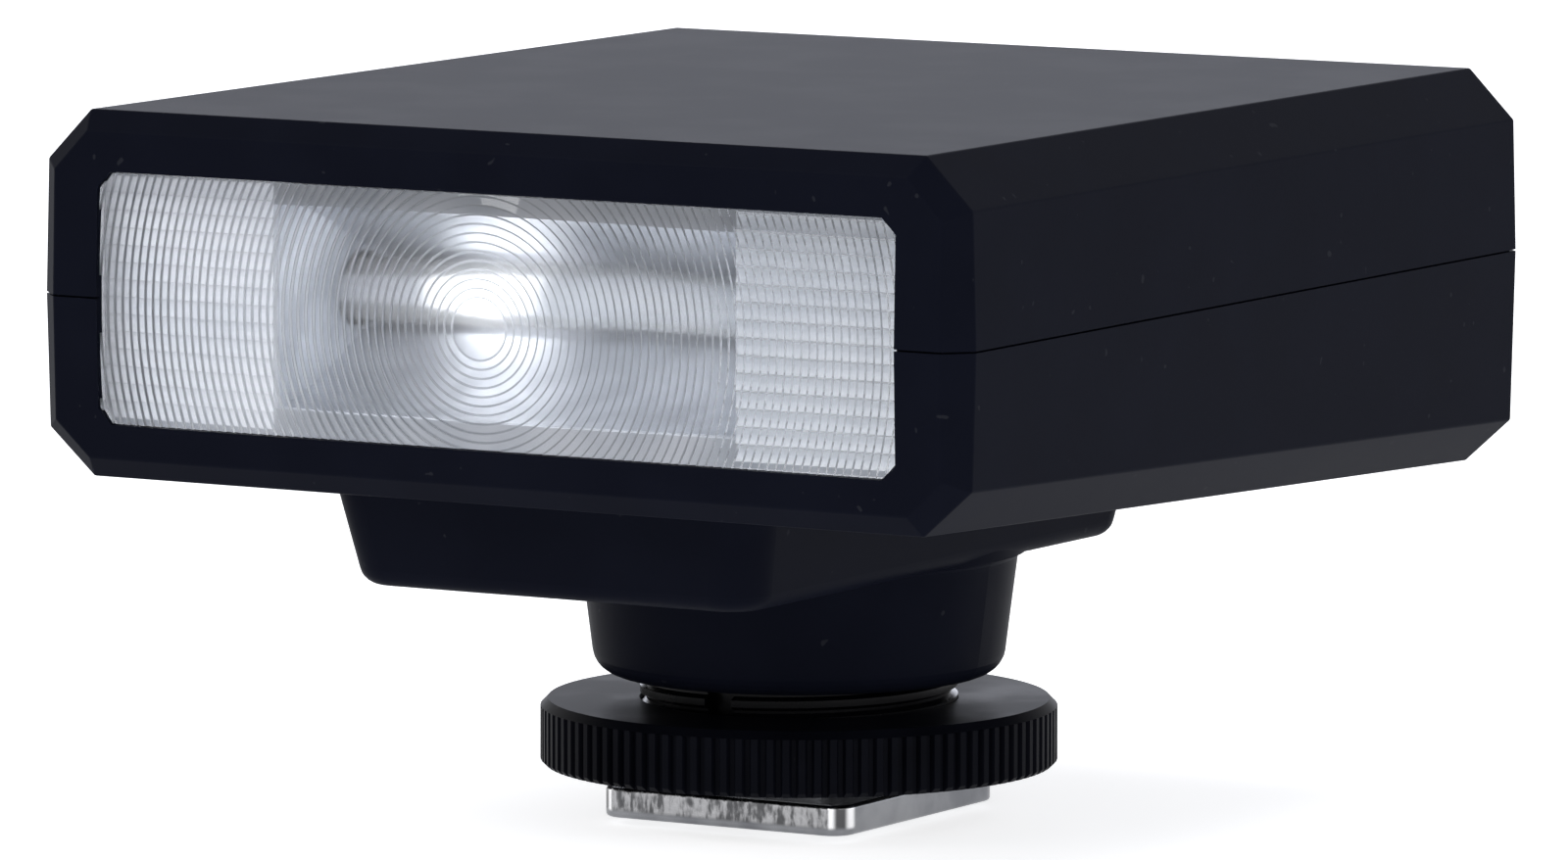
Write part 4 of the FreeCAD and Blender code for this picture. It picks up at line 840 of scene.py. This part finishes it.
@dataclass
class FlashHead(SubAssembly):
    """The lens, its frame, the reflector, the tube, and a core in the tube with a painted glow."""

    finishes: dict[str, Finish] = field(default_factory=lambda: {
        "fresnel_lens": LENS, "reflector_frame": FRAME, "reflector": MIRROR, "tube_sleeves": SILICONE,
        "tube_electrodes": STEEL,
    })
    tube_wall: float = 0.5 * MM
    tube_cap: float = 1.2 * MM
    tube_lip: float = 0.2 * MM
    tube_bore: float = 0.15 * MM
    # A core inside the tube with a painted glow, brightest at X = -6.6 mm. It stands in for a bright spot, not
    # a firing flash.
    core_inset: float = 2.5 * MM
    core_taper: float = 1.5 * MM
    core_tip: float = 0.05 * MM
    core_radius: float = 1.0 * MM
    painted_glow_strength: float = 6.0
    core_colour: Paint = (0.8, 0.82, 0.86, 1.0)
    core_roughness: float = 0.6
    glow_middle: float = -6.6 * MM
    glow_reach: float = 3.8 * MM
    steps: int = 48

    def dress(self, frame: dict, palette: Palette) -> None:
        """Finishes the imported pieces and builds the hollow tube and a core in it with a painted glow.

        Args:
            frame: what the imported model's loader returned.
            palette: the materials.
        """
        super().dress(frame, palette)
        low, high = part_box("flash_tube")
        centre = (low + high) / 2
        half = (high.x - low.x) / 2
        outer = (high.z - low.z) / 2
        inner = outer - self.tube_wall
        cap, lip, bore = self.tube_cap, self.tube_lip, self.tube_bore
        section = [(-half, bore), (-half, outer - lip), (lip - half, outer), (half - lip, outer),
                   (half, outer - lip), (half, bore), (half - cap, bore), (half - cap - lip, inner),
                   (cap + lip - half, inner), (cap - half, bore)]
        tube = lathe(section, centre, self.steps)
        glass = new_piece("discharge_tube", tube, palette.material(TUBE), "root")
        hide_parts("flash_tube")
        self.build_painted_glow(centre, half - self.core_inset)

    def build_painted_glow(self, centre: Vector, half: float) -> None:
        """A core on the tube's axis whose glow is painted light, standing in for a bright spot rather than a
        firing flash.

        Args:
            centre: the tube's middle.
            half: half of the glow's length.
        """
        full = half - self.core_taper
        profile = [(-half, self.core_tip), (-full, self.core_radius), (full, self.core_radius),
                   (half, self.core_tip)]
        material = bpy.data.materials.new("painted_glow_core")
        material.use_nodes = True
        material.node_tree.nodes.clear()
        graph = Graph(material.node_tree)
        glow = graph.add("ShaderNodeGroup", {"node_tree": glow_group(self.glow_middle, self.glow_reach)})
        shader = graph.add("ShaderNodeBsdfPrincipled", {},
                           {"Base Color": self.core_colour, "Emission Color": glow.outputs["Colour"],
                            "Emission Strength": self.painted_glow_strength, "Roughness": self.core_roughness})
        graph.add("ShaderNodeOutputMaterial", {}, {"Surface": shader.outputs[0]})
        new_piece("painted_glow_core", lathe(profile, centre, self.steps), material, "root")


@dataclass
class ShoeMount(SubAssembly):
    """The foot, the threaded neck, the lock ring and the centre contact."""

    finishes: dict[str, Finish] = field(default_factory=lambda: {
        "shoe_foot": FOOT, "shoe_neck": NECK, "lock_ring": RING, "clamp_washer": RING, "contact_block": BOX,
        "contact_pin": BRASS, "contact_spring": STEEL, "contact_terminal": BRASS,
    })


@dataclass
class BatteryBay(SubAssembly):
    """The box, its contacts and the two cells."""

    finishes: dict[str, Finish] = field(default_factory=lambda: {
        "battery_box": BOX, "battery_contacts": STEEL, "battery_cells": CELL, "battery_spring": STEEL,
    })


@dataclass
class ControlPanel(SubAssembly):
    """The back panel, its controls and the printed marks on them."""

    finishes: dict[str, Finish] = field(default_factory=lambda: {
        "rear_panel": PANEL, "power_slider": SLIDER, "light_pipe": PIPE, "ready_lamp": LAMP,
        "control_board": BOARD, "tact_switches": CHIP, "slide_switch": STEEL, "indicator_leds": LED,
        "mode_button": BUTTON, "minus_button": BUTTON, "plus_button": BUTTON, "test_button": BUTTON,
    })
    mark_height: float = 0.06 * MM
    mark_edge: float = 0.02 * MM
    sign_reach: float = 1.1 * MM
    sign_half: float = 0.16 * MM
    bolt_unit: float = 1.2 * MM
    bolt: tuple[tuple[float, float], ...] = (
        (0.25, 1.3), (-0.75, -0.15), (-0.1, -0.15), (-0.3, -1.3), (0.75, 0.25), (0.1, 0.25),
    )
    dot_radius: float = 0.95 * MM
    dot_sides: int = 24

    def dress(self, frame: dict, palette: Palette) -> None:
        """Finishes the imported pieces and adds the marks.

        Args:
            frame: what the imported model's loader returned.
            palette: the materials.
        """
        super().dress(frame, palette)
        a, b = self.sign_reach, self.sign_half
        bar = [(-a, -b), (a, -b), (a, b), (-a, b)]
        cross = [(-a, -b), (-b, -b), (-b, -a), (b, -a), (b, -b), (a, -b),
                 (a, b), (b, b), (b, a), (-b, a), (-b, b), (-a, b)]
        bolt = [(x * self.bolt_unit, z * self.bolt_unit) for x, z in self.bolt]
        ink = palette.material(PRINT)
        self.mark("minus_sign", flat_outline(bar), "minus_button", "minus", ink)
        self.mark("plus_sign", flat_outline(cross), "plus_button", "plus", ink)
        self.mark("flash_sign", flat_outline(bolt), "test_button", "test", ink)
        self.mark("mode_sign", self.round_dot(), "mode_button", "mode", ink)

    def round_dot(self) -> bmesh.types.BMesh:
        """A flat round face in the XZ plane."""
        mesh = bmesh.new()
        bmesh.ops.create_circle(mesh, cap_ends=True, segments=self.dot_sides, radius=self.dot_radius,
                                matrix=Matrix.Rotation(math.pi / 2, 4, "X"))
        return mesh

    def mark(self, name: str, mesh: bmesh.types.BMesh, node: str, body: str, ink: bpy.types.Material) -> None:
        """Puts a raised mark on the middle of a button.

        Args:
            name: the mark's name.
            mesh: its flat face, about the origin.
            node: the button's node.
            body: the button's body.
            ink: the mark's material.
        """
        low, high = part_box(node)
        middle = (low + high) / 2
        bmesh.ops.translate(mesh, verts=mesh.verts, vec=(middle.x, high.y, middle.z))
        raise_mark(mesh, self.mark_height, self.mark_edge)
        new_piece(name, mesh, ink, body)


@dataclass
class PowerCircuit(SubAssembly):
    """The charging and firing circuit in the case."""

    finishes: dict[str, Finish] = field(default_factory=lambda: {
        "main_board": BOARD, "main_capacitor": CAN, "capacitor_seal": SEAL, "capacitor_leads": STEEL,
        "transformer_core": FERRITE, "transformer_winding": WINDING, "trigger_coil": TAPE,
        "power_transistor": CHIP, "board_parts": CHIP,
    })


@dataclass
class Fasteners(SubAssembly):
    """The screws."""

    finishes: dict[str, Finish] = field(default_factory=lambda: {
        "case_screws": BLACK_STEEL, "foot_screws": STEEL, "neck_screws": BLACK_STEEL,
        "board_screws": BLACK_STEEL, "panel_screws": BLACK_STEEL,
    })


# Studio


@dataclass(frozen=True)
class Softbox:
    """One square studio light that the camera doesn't see."""

    name: str
    place: Point
    size: float
    power: float
    tint: Colour = (1.0, 1.0, 1.0)


@dataclass
class Studio:
    """Floor, surroundings, lights and camera."""

    azimuth: float = 30.5707
    elevation: float = 6.6254
    roll: float = 0.0644
    distance: float = 808.768 * MM
    target: Point = (-0.4603 * MM, -0.2719 * MM, 25.8165 * MM)
    focal_pixels: float = 12588.5
    centre_offset: tuple[float, float] = (7.335, 12.360)
    sensor: float = 36.0
    nearest_seen: float = 0.05
    farthest_seen: float = 20.0
    floor_half: float = 4.0
    floor_gap: float = 0.01 * MM
    floor_paper: Paint = (0.86, 0.86, 0.87, 1.0)
    floor_lift: float = 0.74
    white: Paint = (1.0, 1.0, 1.0, 1.0)
    fill: Paint = (0.30, 0.31, 0.34, 1.0)
    boxes: tuple[Softbox, ...] = (
        Softbox("key_light", (-0.62, -0.80, 0.80), 0.70, 6.0),
        Softbox("fill_light", (1.20, -0.45, 0.50), 0.80, 4.2),
        Softbox("side_card", (0.80, 1.20, 0.30), 0.80, 1.2, (0.80, 0.85, 1.0)),
        Softbox("top_light", (0.10, 0.15, 1.20), 0.80, 5.0),
        Softbox("back_card", (-0.75, 1.25, 0.20), 0.90, 3.0, (0.76, 0.81, 1.0)),
    )

    def build(self) -> None:
        """Makes everything that isn't the object."""
        self.build_floor()
        self.build_surround()
        for box in self.boxes:
            self.build_light(box)
        self.build_camera()

    def build_floor(self) -> None:
        """White paper just under the lowest point, which keeps the object's shadow."""
        low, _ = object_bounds()
        mesh = bmesh.new()
        bmesh.ops.create_grid(mesh, x_segments=1, y_segments=1, size=self.floor_half)
        bmesh.ops.translate(mesh, verts=mesh.verts, vec=(0.0, 0.0, low.z - self.floor_gap))
        data = bpy.data.meshes.new("floor")
        mesh.to_mesh(data)
        mesh.free()
        floor = bpy.data.objects.new("floor", data)
        bpy.context.scene.collection.objects.link(floor)
        material = bpy.data.materials.new("floor_paper")
        material.use_nodes = True
        material.node_tree.nodes.clear()
        graph = Graph(material.node_tree)
        paper = graph.add("ShaderNodeBsdfDiffuse", {}, {"Color": self.floor_paper})
        lift = graph.add("ShaderNodeEmission", {}, {"Color": self.white, "Strength": self.floor_lift})
        lit = graph.add("ShaderNodeAddShader", {}, {0: paper.outputs[0], 1: lift.outputs[0]})
        graph.add("ShaderNodeOutputMaterial", {}, {"Surface": lit.outputs[0]})
        data.materials.append(material)
        floor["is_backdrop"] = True

    def build_surround(self) -> None:
        """White behind the object, through clear pieces and in reflections, and an even fill elsewhere."""
        world = bpy.data.worlds.new("studio_room")
        bpy.context.scene.world = world
        world.use_nodes = True
        world.node_tree.nodes.clear()
        graph = Graph(world.node_tree)
        path = graph.add("ShaderNodeLightPath")
        white = graph.add("ShaderNodeBackground", {}, {"Color": self.white, "Strength": 1.0})
        fill = graph.add("ShaderNodeBackground", {}, {"Color": self.fill, "Strength": 1.0})
        straight = graph.math("MAXIMUM", path.outputs["Is Camera Ray"], path.outputs["Is Transmission Ray"])
        seen = graph.math("MAXIMUM", straight, path.outputs["Is Glossy Ray"])
        mixed = graph.add("ShaderNodeMixShader", {}, {0: seen, 1: fill.outputs[0], 2: white.outputs[0]})
        graph.add("ShaderNodeOutputWorld", {}, {"Surface": mixed.outputs[0]})

    def build_light(self, box: Softbox) -> None:
        """One softbox that faces the object.

        Args:
            box: its place, size and power.
        """
        lamp = bpy.data.lights.new(box.name, "AREA")
        lamp.shape = "SQUARE"
        lamp.size = box.size
        lamp.energy = box.power
        lamp.color = box.tint
        holder = bpy.data.objects.new(box.name, lamp)
        bpy.context.scene.collection.objects.link(holder)
        holder.location = box.place
        aim = Vector(self.target) - Vector(box.place)
        holder.rotation_euler = aim.to_track_quat("-Z", "Y").to_euler()
        holder.visible_camera = False

    def build_camera(self) -> None:
        """The camera that the photograph was solved for."""
        a, e = math.radians(self.azimuth), math.radians(self.elevation)
        back = Vector((math.sin(a) * math.cos(e), -math.cos(a) * math.cos(e), math.sin(e)))
        data = bpy.data.cameras.new("photo_camera")
        data.sensor_width = self.sensor
        data.lens = self.focal_pixels / IMAGE_WIDTH * self.sensor
        data.shift_x = -self.centre_offset[0] / IMAGE_WIDTH
        data.shift_y = -self.centre_offset[1] / IMAGE_WIDTH
        data.clip_start = self.nearest_seen
        data.clip_end = self.farthest_seen
        camera = bpy.data.objects.new("photo_camera", data)
        bpy.context.scene.collection.objects.link(camera)
        turn = (-back).to_track_quat("-Z", "Y").to_matrix().to_4x4()
        roll = Matrix.Rotation(math.radians(self.roll), 4, "Z")
        camera.matrix_world = Matrix.Translation(Vector(self.target) + back * self.distance) @ turn @ roll
        bpy.context.scene.camera = camera


def main() -> None:
    """Builds the whole scene."""
    logging.basicConfig(level=logging.INFO, format="%(name)s %(message)s")
    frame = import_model()
    bpy.context.scene.view_settings.view_transform = "Standard"
    palette = make_palette()
    for assembly in (CaseShells(), FlashHead(), ShoeMount(), BatteryBay(), ControlPanel(), PowerCircuit(),
                     Fasteners()):
        assembly.dress(frame, palette)
    Studio().build()


if __name__ == "__main__":
    main()
